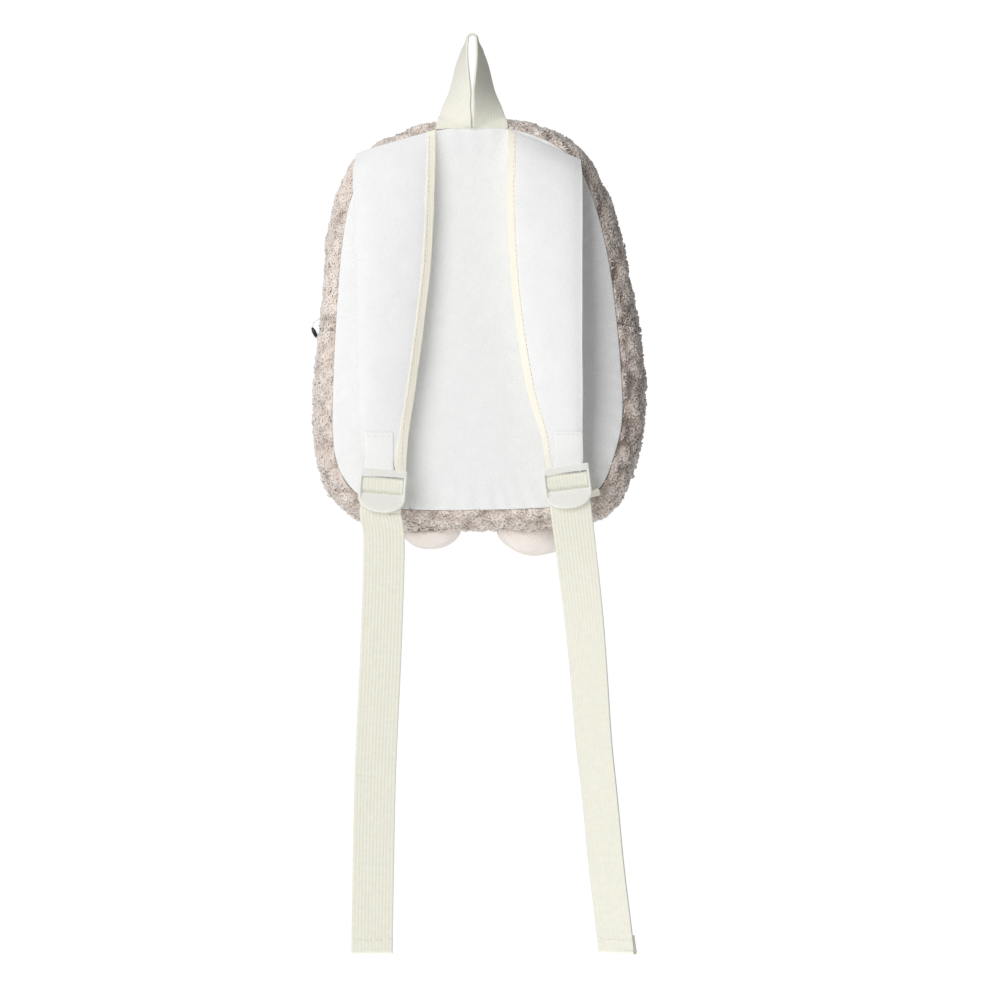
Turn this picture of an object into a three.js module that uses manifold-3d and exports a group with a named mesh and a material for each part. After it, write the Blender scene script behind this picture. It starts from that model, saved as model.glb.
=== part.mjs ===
// Kids plush backpack seen from behind, hanging by its webbing loop.
// Millimetres, +Z up, X to the right of the back view, and the back panel faces -Y.
// The origin is the underside of the hang loop's crown, where a hook bears.
import * as THREE from 'three';
import { mergeVertices } from 'three/addons/utils/BufferGeometryUtils.js';
import Module from 'manifold-3d';

const wasm = await Module();
wasm.setup();

// Walls and gaps
const PIECE_GAP = 0.35;
const FOOT_GAP = 0.75;
const PLUSH_WALL = 4.5;
const PANEL_GAP = 0.5;
const PILE_LUMP = 1.1;

// The bag: depth of the seam round the back panel, and how far the bag hangs out of plumb
const SEAM_Y = -12;
const BODY_LEAN = THREE.MathUtils.degToRad(-1.05);
const BODY_CENTRE_Z = -182;

// The back panel's seam, clockwise from the top centre as it is seen from behind the wearer,
// and how far the plush side swells beyond it.
const SEAM_ROWS = [
  { x: 0, z: -58, swell: 5 },
  { x: 24, z: -60, swell: 5.5 },
  { x: 46, z: -67, swell: 6.5 },
  { x: 64, z: -81, swell: 7.4 },
  { x: 73.5, z: -103, swell: 9 },
  { x: 81, z: -132, swell: 10 },
  { x: 86.5, z: -172, swell: 11.5 },
  { x: 89.5, z: -215, swell: 13.5 },
  { x: 90, z: -246, swell: 12 },
  { x: 84, z: -266, swell: 13.5 },
  { x: 75.5, z: -288, swell: 12.5 },
  { x: 61, z: -295.5, swell: 12 },
  { x: 32, z: -297.8, swell: 11 },
  { x: 0, z: -298, swell: 11 },
  { x: -36, z: -297.5, swell: 11 },
  { x: -66, z: -294, swell: 11.5 },
  { x: -81.5, z: -284, swell: 11.5 },
  { x: -90.5, z: -267, swell: 10.5 },
  { x: -92, z: -245, swell: 10.5 },
  { x: -90.5, z: -209, swell: 10.5 },
  { x: -87.8, z: -172, swell: 9 },
  { x: -84, z: -132, swell: 9.2 },
  { x: -78.5, z: -103, swell: 8.5 },
  { x: -67, z: -80.5, swell: 8 },
  { x: -46, z: -67, swell: 6.5 },
  { x: -24, z: -60, swell: 5.5 },
];

// Section of the plush side from the back seam to the front seam.
// The zip lies between rows 3 and 4.
const SIDE_ROWS = [
  { depth: 2.2, share: 0 },
  { depth: 6, share: 0.5 },
  { depth: 13.5, share: 0.84 },
  { depth: 25.5, share: 1 },
  { depth: 40.5, share: 1 },
  { depth: 54, share: 0.9 },
  { depth: 66, share: 0.64 },
  { depth: 74, share: 0.3 },
];
const ZIP_BACK_ROW = 3;
const ZIP_FRONT_ROW = 4;

// Back panel from its centre to its seam: depth of its two faces
const PANEL_ROWS = [
  { reach: 0, outer: -5.2, inner: -2.2 },
  { reach: 0.35, outer: -4.8, inner: -1.8 },
  { reach: 0.62, outer: -3.8, inner: -0.8 },
  { reach: 0.82, outer: -2.5, inner: 0.5 },
  { reach: 0.95, outer: -0.9, inner: 1.5 },
  { reach: 1, outer: 0.6, inner: 1.8 },
];

// Front panel from its seam to its centre: depth of the dome's outer face
const DOME_ROWS = [
  { reach: 0.93, depth: 80 },
  { reach: 0.82, depth: 85.5 },
  { reach: 0.64, depth: 90.5 },
  { reach: 0.38, depth: 94 },
  { reach: 0, depth: 95.5 },
];

// Grid of the plush walls
const UPPER_COLUMNS = 34;
const LOWER_COLUMNS = 40;
const UPPER_STEPS = 4;
const LOWER_STEPS = 10;
const ROUND_COLUMNS = 42;

// Zip: how far down the sides it runs, and its section
const ZIP_END_Z = -184;
const ZIP_SIDE_GAP = 0.6;
const ZIP_RECESS = 3.2;
const TAPE_THICKNESS = 1.2;
const COIL_WIDTH = 5;
const COIL_HEIGHT = 1.5;
const COIL_TOP_WIDTH = 3.5;

// Slider parked at the left end of the zip, and the bowed pull that hangs from it
const SLIDER_Z = -173;
const SLIDER_HEIGHT = 2.2;
const SLIDER_ROWS = [
  { down: -5.5, width: 5.4 },
  { down: -2.8, width: 7.7 },
  { down: 2.8, width: 8 },
  { down: 5.5, width: 6.4 },
];
const PULL_WIDTH = 7;
const PULL_ROWS = [
  { out: 2, down: -2, thick: 1.5 },
  { out: 2.1, down: 4.5, thick: 1.4 },
  { out: 2.8, down: 9, thick: 1.2 },
  { out: 5.1, down: 12.2, thick: 1.7 },
  { out: 5.2, down: 14.8, thick: 3.2 },
  { out: 3.4, down: 18.4, thick: 1.8 },
];

// Webbing
const WEB_WIDTH = 25;
const WEB_THICKNESS = 1.5;
const HEM_LENGTH = 9;
const HEM_THICKNESS = 3.2;

// Hang loop: right leg from the top seam to the crown, turned out of the panel's plane by turn degrees
const LOOP_WIDTH = 22.5;
const LOOP_ROWS = [
  { x: 11.4, y: -12.4, z: -58.7, turn: 12 },
  { x: 10.6, y: -12, z: -53, turn: 26 },
  { x: 9.2, y: -10.5, z: -45, turn: 40.5 },
  { x: 7.5, y: -6, z: -34, turn: 57 },
  { x: 6.55, y: -2, z: -19, turn: 71.5 },
  { x: 4.65, y: -0.4, z: -8, turn: 82 },
];
const LOOP_CROWN_RADIUS = 3.05;
const LOOP_CROWN_STEPS = 6;
const LOOP_STEPS = 18;

// Shoulder straps, down their length: inner and outer edge and the pad's thickness
const STRAP_ROWS = {
  right: [
    { inX: 22.5, inY: -14.5, inZ: -60.5, outX: 68, outY: -13.1, outZ: -79, thick: 2.4 },
    { inX: 22.3, inY: -20, inZ: -75, outX: 68.8, outY: -23, outZ: -90, thick: 7 },
    { inX: 22, inY: -25, inZ: -104, outX: 69, outY: -30, outZ: -113, thick: 9 },
    { inX: 23.5, inY: -26.5, inZ: -137, outX: 69, outY: -34, outZ: -139, thick: 9 },
    { inX: 26, inY: -27.5, inZ: -167, outX: 69, outY: -37, outZ: -167, thick: 9 },
    { inX: 30.3, inY: -28, inZ: -198, outX: 69, outY: -38, outZ: -198, thick: 9 },
    { inX: 36, inY: -28.5, inZ: -229, outX: 69, outY: -36, outZ: -229, thick: 8 },
    { inX: 43, inY: -29, inZ: -250, outX: 69, outY: -33, outZ: -249, thick: 5.5 },
    { inX: 47, inY: -29, inZ: -271, outX: 69.4, outY: -31, outZ: -268.2, thick: 2.4 },
  ],
  left: [
    { inX: -23, inY: -14, inZ: -60.5, outX: -72.4, outY: -12.2, outZ: -74.8, thick: 2.4 },
    { inX: -22.8, inY: -20, inZ: -75, outX: -74.5, outY: -20, outZ: -88, thick: 7 },
    { inX: -23.5, inY: -25.5, inZ: -104, outX: -73.5, outY: -25, outZ: -112, thick: 9 },
    { inX: -25, inY: -27, inZ: -137, outX: -72.5, outY: -28, outZ: -139, thick: 9 },
    { inX: -28, inY: -28, inZ: -167, outX: -72, outY: -29, outZ: -167, thick: 9 },
    { inX: -32, inY: -28.5, inZ: -198, outX: -71.5, outY: -30, outZ: -198, thick: 9 },
    { inX: -36.2, inY: -28.5, inZ: -229, outX: -71, outY: -30, outZ: -229, thick: 8 },
    { inX: -39.5, inY: -29, inZ: -250, outX: -69.5, outY: -30, outZ: -250, thick: 5.5 },
    { inX: -41.4, inY: -29, inZ: -273.2, outX: -67.8, outY: -29.5, outZ: -271, thick: 2.4 },
  ],
};
const STRAP_STEPS = 16;
const STRAP_COLUMNS = 9;
const STRAP_EDGE = 0.34;
const STRAP_FULLNESS = 2.6;

// Binding round each strap's inner edge, whose reach changes from BINDING_TAPER on to the strap's lower end
const BINDING_REACH = 5;
const BINDING_END_REACH = { right: 3, left: 6.5 };
const BINDING_TAPER = 0.8;
const BINDING_SHOULDER = 2;
const BINDING_THICKNESS = 1;

// White tape from the strap's lower end round the adjuster's bar
const LOOP_TAPE_WIDTH = 18;
const LOOP_TAPE_SHIFT = { right: 0.9, left: -2.2 };
const LOOP_TAPE_THICKNESS = 1.1;
const LOOP_TAPE_START = 0.875;
const LOOP_TAPE_STEPS = 8;

// Ladder-lock adjuster, in its own frame: U across, V up the strap, W towards the viewer
const ADJUSTER_DROP = 11.7;
const RAIL_INNER = 12.9;
const RAIL_OUTER = 14.7;
const RAIL = { bottom: -8, top: 11, back: -1.6, front: 4.2, round: 1.4 };
const BAR_SEAT = 0.5;
const TAPE_BAR_V = 9.6;
const TAPE_BAR_RADIUS = 1.1;
const TAPE_BAR_SIDES = 10;
const CROSSBAR = { bottom: 6.5, top: 11, back: 3.1, front: 4.2, round: 0.5 };
const WEB_BAR = { bottom: -1.7, top: 3.6, back: -1.2, front: 1.2, round: 0.8 };
const LIP_TOP = -4.4;
const LIP_SHOULDER = -7.4;
const LIP_BOTTOM = -16.2;
const LIP_BACK = 1.3;
const LIP_THICKNESS = 1.9;
const LIP_SLANT = THREE.MathUtils.degToRad(6);

// Webbing through the adjuster: up behind the bar, round it, and down behind the lip
const THREAD_RISE = [
  { v: -7, w: -3 },
  { v: -2.5, w: -2.6 },
  { v: 1.5, w: -2.6 },
];
const THREAD_BEND = { v: 2.7, w: -0.15, radius: 2.45, steps: 6 };
const THREAD_FALL = [
  { v: 0.9, w: 2.3 },
  { v: -1.2, w: 2.15 },
  { v: -2.5, w: 1.5 },
  { v: -3.5, w: 0.55 },
  { v: -4.4, w: -0.3 },
  { v: -5.7, w: -0.75 },
  { v: -9.5, w: -0.8 },
  { v: -17, w: -0.7 },
];

// Where the webbing is sewn into the bottom seam, and the route of each free tail.
// turn is the tail's turn about its own length in degrees.
const ANCHOR_X = { right: 63.4, left: -63 };
const ANCHOR_ROWS = [
  { inset: 2, lift: 0.8 },
  { inset: 5, lift: 3.4 },
];
const TAIL_ROWS = {
  right: [
    { x: 65.6, y: -31, z: -329, turn: 12 },
    { x: 70, y: -30, z: -367, turn: 22 },
    { x: 73.2, y: -29, z: -404, turn: 28 },
    { x: 76, y: -28, z: -442, turn: 31 },
    { x: 80, y: -27, z: -479, turn: 33 },
    { x: 83.6, y: -26, z: -517, turn: 33 },
    { x: 88, y: -25, z: -554, turn: 33 },
    { x: 90.3, y: -25, z: -573, turn: 33 },
  ],
  left: [
    { x: -54.6, y: -31, z: -320, turn: 0 },
    { x: -56.6, y: -30, z: -386, turn: 0 },
    { x: -60, y: -29, z: -461, turn: 0 },
    { x: -61.6, y: -28, z: -536, turn: 0 },
    { x: -62.2, y: -28, z: -573, turn: 0 },
  ],
};
const TAIL_STEPS = 16;

// Stuffed feet: centre, size and turn about Z
const FOOT_ROWS = [
  { name: 'left_foot', x: -32, depth: 58, z: -308, width: 40, length: 54, height: 30, yaw: -8, dip: -4 },
  { name: 'right_foot', x: 33, depth: 58, z: -311, width: 42, length: 60, height: 34, yaw: 38, dip: -9 },
];
const FOOT_SIDES = 20;
const FOOT_RINGS = 14;

const UP = new THREE.Vector3(0, 0, 1);
const DEPTH = new THREE.Vector3(0, 1, 0);

// Solids from grids of points

function closedGeometry(points, indices) {
  const raw = new THREE.BufferGeometry();
  raw.setAttribute('position', new THREE.Float32BufferAttribute(points.flatMap((p) => [p.x, p.y, p.z]), 3));
  raw.setIndex(indices);
  const merged = mergeVertices(raw, 1e-3);
  const corners = merged.index.array;
  const kept = [];
  for (let i = 0; i < corners.length; i += 3) {
    const [a, b, c] = [corners[i], corners[i + 1], corners[i + 2]];
    if (a !== b && b !== c && c !== a) kept.push(a, b, c);
  }
  merged.setIndex(signedVolume(merged, kept) < 0 ? kept.reverse() : kept);
  return merged;
}

function signedVolume(geometry, corners) {
  const place = geometry.attributes.position;
  const [a, b, c] = [new THREE.Vector3(), new THREE.Vector3(), new THREE.Vector3()];
  let total = 0;
  for (let i = 0; i < corners.length; i += 3) {
    a.fromBufferAttribute(place, corners[i]);
    b.fromBufferAttribute(place, corners[i + 1]);
    c.fromBufferAttribute(place, corners[i + 2]);
    total += a.dot(b.cross(c)) / 6;
  }
  return total;
}

// A wall between two grids of points; wrap joins the last column to the first.
function wallBetween(front, back, wrap = false) {
  const rows = front.length;
  const columns = front[0].length;
  const spans = wrap ? columns : columns - 1;
  const at = (side, row, column) => (side * rows + row) * columns + (column % columns);
  const indices = [];
  const quad = (a, b, c, d) => indices.push(a, b, c, a, c, d);
  for (let r = 0; r < rows - 1; r += 1) {
    for (let c = 0; c < spans; c += 1) {
      quad(at(0, r, c), at(0, r, c + 1), at(0, r + 1, c + 1), at(0, r + 1, c));
      quad(at(1, r, c), at(1, r + 1, c), at(1, r + 1, c + 1), at(1, r, c + 1));
    }
  }
  const last = rows - 1;
  for (let c = 0; c < spans; c += 1) {
    quad(at(0, 0, c), at(1, 0, c), at(1, 0, c + 1), at(0, 0, c + 1));
    quad(at(0, last, c), at(0, last, c + 1), at(1, last, c + 1), at(1, last, c));
  }
  for (let r = 0; r < rows - 1 && !wrap; r += 1) {
    quad(at(0, r, 0), at(0, r + 1, 0), at(1, r + 1, 0), at(1, r, 0));
    quad(at(0, r, spans), at(1, r, spans), at(1, r + 1, spans), at(0, r + 1, spans));
  }
  return closedGeometry([...front.flat(), ...back.flat()], indices);
}

// A filled body through closed rings, shut by a fan at each end.
function filledLoft(rings) {
  const columns = rings[0].length;
  const points = rings.flat();
  const indices = [];
  for (let r = 0; r < rings.length - 1; r += 1) {
    for (let c = 0; c < columns; c += 1) {
      const next = (c + 1) % columns;
      const [a, b] = [r * columns + c, r * columns + next];
      indices.push(a, b, b + columns, a, b + columns, a + columns);
    }
  }
  const middle = (ring) => ring.reduce((sum, p) => sum.add(p), new THREE.Vector3()).divideScalar(columns);
  const start = points.push(middle(rings[0])) - 1;
  const end = points.push(middle(rings[rings.length - 1])) - 1;
  const top = (rings.length - 1) * columns;
  for (let c = 0; c < columns; c += 1) {
    const next = (c + 1) % columns;
    indices.push(start, next, c, end, top + c, top + next);
  }
  return closedGeometry(points, indices);
}

function toManifold(geometry) {
  const bare = geometry.clone();
  bare.deleteAttribute('normal');
  bare.deleteAttribute('uv');
  const merged = mergeVertices(bare, 1e-3);
  return new wasm.Manifold(new wasm.Mesh({
    numProp: 3,
    vertProperties: new Float32Array(merged.attributes.position.array),
    triVerts: new Uint32Array(merged.index.array),
  }));
}

function fromManifold(solid) {
  const mesh = solid.getMesh();
  const geometry = new THREE.BufferGeometry();
  geometry.setAttribute('position', new THREE.Float32BufferAttribute(mesh.vertProperties, 3));
  geometry.setIndex([...mesh.triVerts]);
  return geometry;
}

function joined(geometries) {
  return fromManifold(geometries.map(toManifold).reduce((whole, piece) => whole.add(piece)));
}

// A flat ribbon through stations, each with a place, a direction across and a thickness.
function ribbon(stations, width) {
  const front = [];
  const back = [];
  stations.forEach((station, i) => {
    const before = stations[Math.max(i - 1, 0)].place;
    const after = stations[Math.min(i + 1, stations.length - 1)].place;
    const along = after.clone().sub(before).normalize();
    const across = station.across.clone().addScaledVector(along, -station.across.dot(along)).normalize();
    const face = along.clone().cross(across).multiplyScalar(station.thickness / 2);
    const edges = [-width / 2, 0, width / 2].map((u) => station.place.clone().addScaledVector(across, u));
    front.push(edges.map((p) => p.clone().add(face)));
    back.push(edges.map((p) => p.clone().sub(face)));
  });
  return wallBetween(front, back);
}

// Even shares from 0 to 1, and the same round a ring without the repeated end.
const spread = (count) => Array.from({ length: count + 1 }, (_, i) => i / count);
const round = (count) => Array.from({ length: count }, (_, i) => i / count);

// The bag's outline and side

const seamCurve = new THREE.CatmullRomCurve3(
  SEAM_ROWS.map((row) => new THREE.Vector3(row.x, row.swell, row.z)),
  true,
  'centripetal',
);
const seamLength = seamCurve.getLength();
const sideCurve = new THREE.CatmullRomCurve3(
  SIDE_ROWS.map((row) => new THREE.Vector3(row.share, row.depth, 0)),
  false,
  'centripetal',
);

// A place on the seam: t runs clockwise from the top centre, seen from behind the wearer.
function seamAt(t) {
  const turn = ((t % 1) + 1) % 1;
  const place = seamCurve.getPointAt(turn);
  const along = seamCurve.getTangentAt(turn);
  const out = new THREE.Vector3(-along.z, 0, along.x).normalize();
  return { x: place.x, z: place.z, swell: place.y, out };
}

// Where the seam passes a height, between a turn above it and one below it.
function seamTurnAtHeight(z, above, below) {
  let [high, low] = [above, below];
  for (let i = 0; i < 40; i += 1) {
    const middle = (high + low) / 2;
    if (seamAt(middle).z > z) high = middle;
    else low = middle;
  }
  return high;
}
const rightTurnAt = (z) => seamTurnAtHeight(z, 0.05, 0.45);
const leftTurnAt = (z) => seamTurnAtHeight(z, 0.95, 0.55);

function pileLump(t, s) {
  const fade = Math.sin(Math.PI * THREE.MathUtils.clamp(s, 0, 1));
  const wave = Math.sin(2 * Math.PI * (19 * t + 1.3 * s)) + Math.sin(2 * Math.PI * (13 * t - 1.9 * s) + 1.1);
  return PILE_LUMP * fade * wave / 2;
}

// A point of the plush side: s runs from the back seam to the front seam, lift is off the face,
// and slip moves it on along the section.
function sidePoint(t, s, lift, slip = 0) {
  const seam = seamAt(t);
  const step = 0.01;
  const here = sideCurve.getPoint(s);
  const before = sideCurve.getPoint(Math.max(s - step, 0));
  const after = sideCurve.getPoint(Math.min(s + step, 1));
  const along = new THREE.Vector2((after.x - before.x) * seam.swell, after.y - before.y).normalize();
  const height = lift + pileLump(t, s);
  const out = here.x * seam.swell + along.y * height + along.x * slip;
  const depth = here.y - along.x * height + along.y * slip;
  return new THREE.Vector3(seam.x, SEAM_Y + depth, seam.z).addScaledVector(seam.out, out);
}

function sideStrip(turns, shares) {
  const outer = shares.map((s) => turns.map((t) => sidePoint(t, s, 0)));
  const inner = shares.map((s) => turns.map((t) => sidePoint(t, s, -PLUSH_WALL)));
  return wallBetween(outer, inner);
}

const [zipStart, zipEnd] = [leftTurnAt(ZIP_END_Z), rightTurnAt(ZIP_END_Z)];
const turnGap = PIECE_GAP / seamLength;
const upperTurns = spread(UPPER_COLUMNS).map((f) => THREE.MathUtils.lerp(zipStart - 1, zipEnd, f));
const lowerTurns = spread(LOWER_COLUMNS).map(
  (f) => THREE.MathUtils.lerp(zipEnd + turnGap, zipStart - turnGap, f),
);
const roundTurns = round(ROUND_COLUMNS);
const lastSideRow = SIDE_ROWS.length - 1;
const zipBackShare = ZIP_BACK_ROW / lastSideRow;
const zipFrontShare = ZIP_FRONT_ROW / lastSideRow;

function towardsCentre(rim, reach, y) {
  const z = THREE.MathUtils.lerp(BODY_CENTRE_Z, rim.z, reach);
  return new THREE.Vector3(rim.x * reach, y, z);
}

function backPanel() {
  const rim = roundTurns.map((t) => {
    const seam = seamAt(t);
    return new THREE.Vector3(seam.x, 0, seam.z).addScaledVector(seam.out, -PANEL_GAP);
  });
  const face = (key) => PANEL_ROWS.map(
    (row) => rim.map((p) => towardsCentre(p, row.reach, SEAM_Y + row[key])),
  );
  return wallBetween(face('outer'), face('inner'), true);
}

function domeRows(lift) {
  const rim = roundTurns.map((t) => sidePoint(t, 1, lift, PIECE_GAP));
  const rows = DOME_ROWS.map((row) => rim.map((p) => towardsCentre(p, row.reach, SEAM_Y + row.depth + lift)));
  return [rim, ...rows];
}

function zipTape() {
  const halfSlot = (SIDE_ROWS[ZIP_FRONT_ROW].depth - SIDE_ROWS[ZIP_BACK_ROW].depth) / 2;
  const middle = SEAM_Y + SIDE_ROWS[ZIP_BACK_ROW].depth + halfSlot;
  const edge = halfSlot - ZIP_SIDE_GAP;
  const coil = COIL_WIDTH / 2;
  const section = [
    { across: -edge, rise: 0 },
    { across: -coil, rise: 0 },
    { across: -COIL_TOP_WIDTH / 2, rise: COIL_HEIGHT },
    { across: COIL_TOP_WIDTH / 2, rise: COIL_HEIGHT },
    { across: coil, rise: 0 },
    { across: edge, rise: 0 },
  ];
  const face = (drop) => section.map((p) => upperTurns.map((t) => {
    const seam = seamAt(t);
    const out = seam.swell - ZIP_RECESS + (drop ? -drop : p.rise);
    return new THREE.Vector3(seam.x, middle + p.across, seam.z).addScaledVector(seam.out, out);
  }));
  return wallBetween(face(0), face(TAPE_THICKNESS));
}

function zipSlider() {
  const seam = seamAt(leftTurnAt(SLIDER_Z));
  const down = new THREE.Vector3(seam.out.z, 0, -seam.out.x);
  if (down.z > 0) down.negate();
  const middle = (SIDE_ROWS[ZIP_BACK_ROW].depth + SIDE_ROWS[ZIP_FRONT_ROW].depth) / 2;
  const seat = seam.swell - ZIP_RECESS + COIL_HEIGHT + PIECE_GAP;
  const place = (out, across, along) => new THREE.Vector3(seam.x, SEAM_Y + middle + across, seam.z)
    .addScaledVector(seam.out, seat + out)
    .addScaledVector(down, along);
  const face = (out) => SLIDER_ROWS.map(
    (row) => [-0.5, 0, 0.5].map((side) => place(out, side * row.width, row.down)),
  );
  const body = wallBetween(face(SLIDER_HEIGHT), face(0));
  const bow = new THREE.CatmullRomCurve3(PULL_ROWS.map((row) => place(row.out, 0, row.down)));
  const girth = new THREE.CatmullRomCurve3(PULL_ROWS.map((row) => new THREE.Vector3(row.thick, row.down, 0)));
  const stations = spread(10).map((f) => ({
    place: bow.getPoint(f),
    across: DEPTH,
    thickness: girth.getPoint(f).x,
  }));
  return joined([body, ribbon(stations, PULL_WIDTH)]);
}

function foot(row) {
  const rings = [
    ...spread(LOWER_STEPS).map((s) => roundTurns.map((t) => sidePoint(t, s, FOOT_GAP))),
    ...domeRows(FOOT_GAP).slice(1, -1),
  ];
  const bag = toManifold(filledLoft(rings));
  const ball = new THREE.SphereGeometry(0.5, FOOT_SIDES, FOOT_RINGS);
  ball.rotateX(Math.PI / 2);
  ball.scale(row.width, row.length, row.height);
  ball.rotateX(THREE.MathUtils.degToRad(row.dip));
  ball.rotateZ(THREE.MathUtils.degToRad(-row.yaw));
  ball.translate(row.x, SEAM_Y + row.depth, row.z);
  return fromManifold(toManifold(ball).subtract(bag));
}

// Hang loop

function hangLoop() {
  const leg = new THREE.CatmullRomCurve3(LOOP_ROWS.map((row) => new THREE.Vector3(row.x, row.y, row.z)));
  const turns = new THREE.CatmullRomCurve3(LOOP_ROWS.map((row) => new THREE.Vector3(row.turn, row.z, 0)));
  const station = (place, turn, side) => {
    const angle = THREE.MathUtils.degToRad(turn);
    const across = new THREE.Vector3(Math.cos(angle), side * Math.sin(angle), 0);
    return { place: new THREE.Vector3(side * place.x, place.y, place.z), across, thickness: WEB_THICKNESS };
  };
  const side = (sign) => spread(LOOP_STEPS).map((f) => station(leg.getPoint(f), turns.getPoint(f).x, sign));
  const crownZ = -LOOP_CROWN_RADIUS + WEB_THICKNESS / 2;
  const crown = spread(LOOP_CROWN_STEPS).map((f) => {
    const angle = Math.PI * f;
    const place = new THREE.Vector3(
      LOOP_CROWN_RADIUS * Math.cos(angle),
      0,
      crownZ + LOOP_CROWN_RADIUS * Math.sin(angle),
    );
    return { place, across: DEPTH.clone(), thickness: WEB_THICKNESS };
  });
  const down = side(-1).reverse();
  down.forEach((s) => s.across.negate());
  return ribbon([...side(1), ...crown, ...down], LOOP_WIDTH);
}

// Shoulder straps: a section of the pad at f down its length

function strapSection(rows) {
  const curve = (pick) => new THREE.CatmullRomCurve3(rows.map(pick), false, 'centripetal');
  const inner = curve((row) => new THREE.Vector3(row.inX, row.inY, row.inZ));
  const outer = curve((row) => new THREE.Vector3(row.outX, row.outY, row.outZ));
  const thick = curve((row) => new THREE.Vector3(row.thick, row.inZ, 0));
  return (f) => {
    const [inEdge, outEdge] = [inner.getPoint(f), outer.getPoint(f)];
    const middle = inEdge.clone().add(outEdge).divideScalar(2);
    const half = outEdge.clone().sub(inEdge).divideScalar(2);
    const along = inner.getTangent(f).add(outer.getTangent(f));
    const face = half.clone().cross(along).normalize();
    if (face.y > 0) face.negate();
    return { middle, half, face, thick: thick.getPoint(f).x };
  };
}

// u runs from -1 at the inner edge to 1 at the outer edge; side is 1 on the viewer's face.
function strapPoint(section, u, side, lift = 0) {
  const swell = Math.sqrt(Math.max(1 - Math.abs(u) ** STRAP_FULLNESS, 0));
  const rise = section.thick / 2 * Math.max(swell, STRAP_EDGE) + lift;
  return section.middle.clone().addScaledVector(section.half, u).addScaledVector(section.face, side * rise);
}

function strapPad(section) {
  const across = spread(STRAP_COLUMNS).map((f) => -Math.cos(Math.PI * f));
  const face = (side) => spread(STRAP_STEPS).map((f) => across.map((u) => strapPoint(section(f), u, side)));
  return wallBetween(face(1), face(-1));
}

function strapBinding(section, endReach) {
  const face = (lift) => spread(STRAP_STEPS).map((f) => {
    const here = section(f);
    const width = here.half.length();
    const change = THREE.MathUtils.smoothstep(f, BINDING_TAPER, 1);
    const reach = THREE.MathUtils.lerp(BINDING_REACH, endReach, change);
    const u = (inset) => -1 + inset / width;
    const nose = here.middle.clone().addScaledVector(here.half, u(-lift));
    const corner = (side) => strapPoint(here, -1, side, lift).addScaledVector(here.half, -0.6 * lift / width);
    return [
      strapPoint(here, u(reach), 1, lift),
      strapPoint(here, u(BINDING_SHOULDER), 1, lift),
      corner(1),
      nose,
      corner(-1),
      strapPoint(here, u(BINDING_SHOULDER), -1, lift),
      strapPoint(here, u(reach), -1, lift),
    ];
  });
  return wallBetween(face(PIECE_GAP + BINDING_THICKNESS), face(PIECE_GAP));
}

// The adjuster's frame, set by the strap's lower end
function adjusterFrame(section) {
  const end = section(1);
  const u = end.half.clone().normalize();
  if (u.x < 0) u.negate();
  const v = UP.clone().addScaledVector(u, -u.z).normalize();
  const w = u.clone().cross(v);
  const origin = end.middle.clone().addScaledVector(v, -ADJUSTER_DROP);
  const place = (pu, pv, pw) => origin.clone()
    .addScaledVector(u, pu)
    .addScaledVector(v, pv)
    .addScaledVector(w, pw);
  return { u, v, w, origin, place };
}

function barAcross(points, from, to) {
  const shape = new THREE.Shape(points.map((p) => new THREE.Vector2(p.v, p.w)));
  const bar = new THREE.ExtrudeGeometry(shape, { depth: to - from, bevelEnabled: false });
  const toFrame = new THREE.Matrix4().makeBasis(
    new THREE.Vector3(0, 1, 0),
    new THREE.Vector3(0, 0, 1),
    new THREE.Vector3(1, 0, 0),
  );
  bar.applyMatrix4(toFrame);
  bar.translate(from, 0, 0);
  return bar;
}

function roundedBox({ bottom, top, back, front, round: radius }) {
  const corners = [
    { v: top - radius, w: front - radius, start: 0 },
    { v: bottom + radius, w: front - radius, start: Math.PI / 2 },
    { v: bottom + radius, w: back + radius, start: Math.PI },
    { v: top - radius, w: back + radius, start: Math.PI * 1.5 },
  ];
  return corners.flatMap((c) => spread(2).map((f) => {
    const angle = c.start + f * Math.PI / 2;
    return { v: c.v + radius * Math.cos(angle), w: c.w + radius * Math.sin(angle) };
  }));
}

function adjuster() {
  const rail = roundedBox(RAIL);
  const tapeBar = round(TAPE_BAR_SIDES).map((f) => ({
    v: TAPE_BAR_V + TAPE_BAR_RADIUS * Math.cos(2 * Math.PI * f),
    w: TAPE_BAR_RADIUS * Math.sin(2 * Math.PI * f),
  }));
  const barReach = RAIL_INNER + BAR_SEAT;
  const outline = new THREE.Shape();
  outline.moveTo(-RAIL_OUTER, LIP_TOP);
  outline.lineTo(-RAIL_OUTER, LIP_SHOULDER);
  outline.absellipse(0, LIP_SHOULDER, RAIL_OUTER, LIP_SHOULDER - LIP_BOTTOM, Math.PI, 2 * Math.PI, false);
  outline.lineTo(RAIL_OUTER, LIP_TOP);
  const lip = new THREE.ExtrudeGeometry(outline, {
    depth: LIP_THICKNESS,
    bevelEnabled: false,
    curveSegments: 18,
  });
  lip.translate(0, -LIP_TOP, 0);
  lip.rotateX(-LIP_SLANT);
  lip.translate(0, LIP_TOP, LIP_BACK);
  return joined([
    barAcross(rail, -RAIL_OUTER, -RAIL_INNER),
    barAcross(rail, RAIL_INNER, RAIL_OUTER),
    ...[tapeBar, roundedBox(CROSSBAR), roundedBox(WEB_BAR)].map((bar) => barAcross(bar, -barReach, barReach)),
    lip,
  ]);
}

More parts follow.
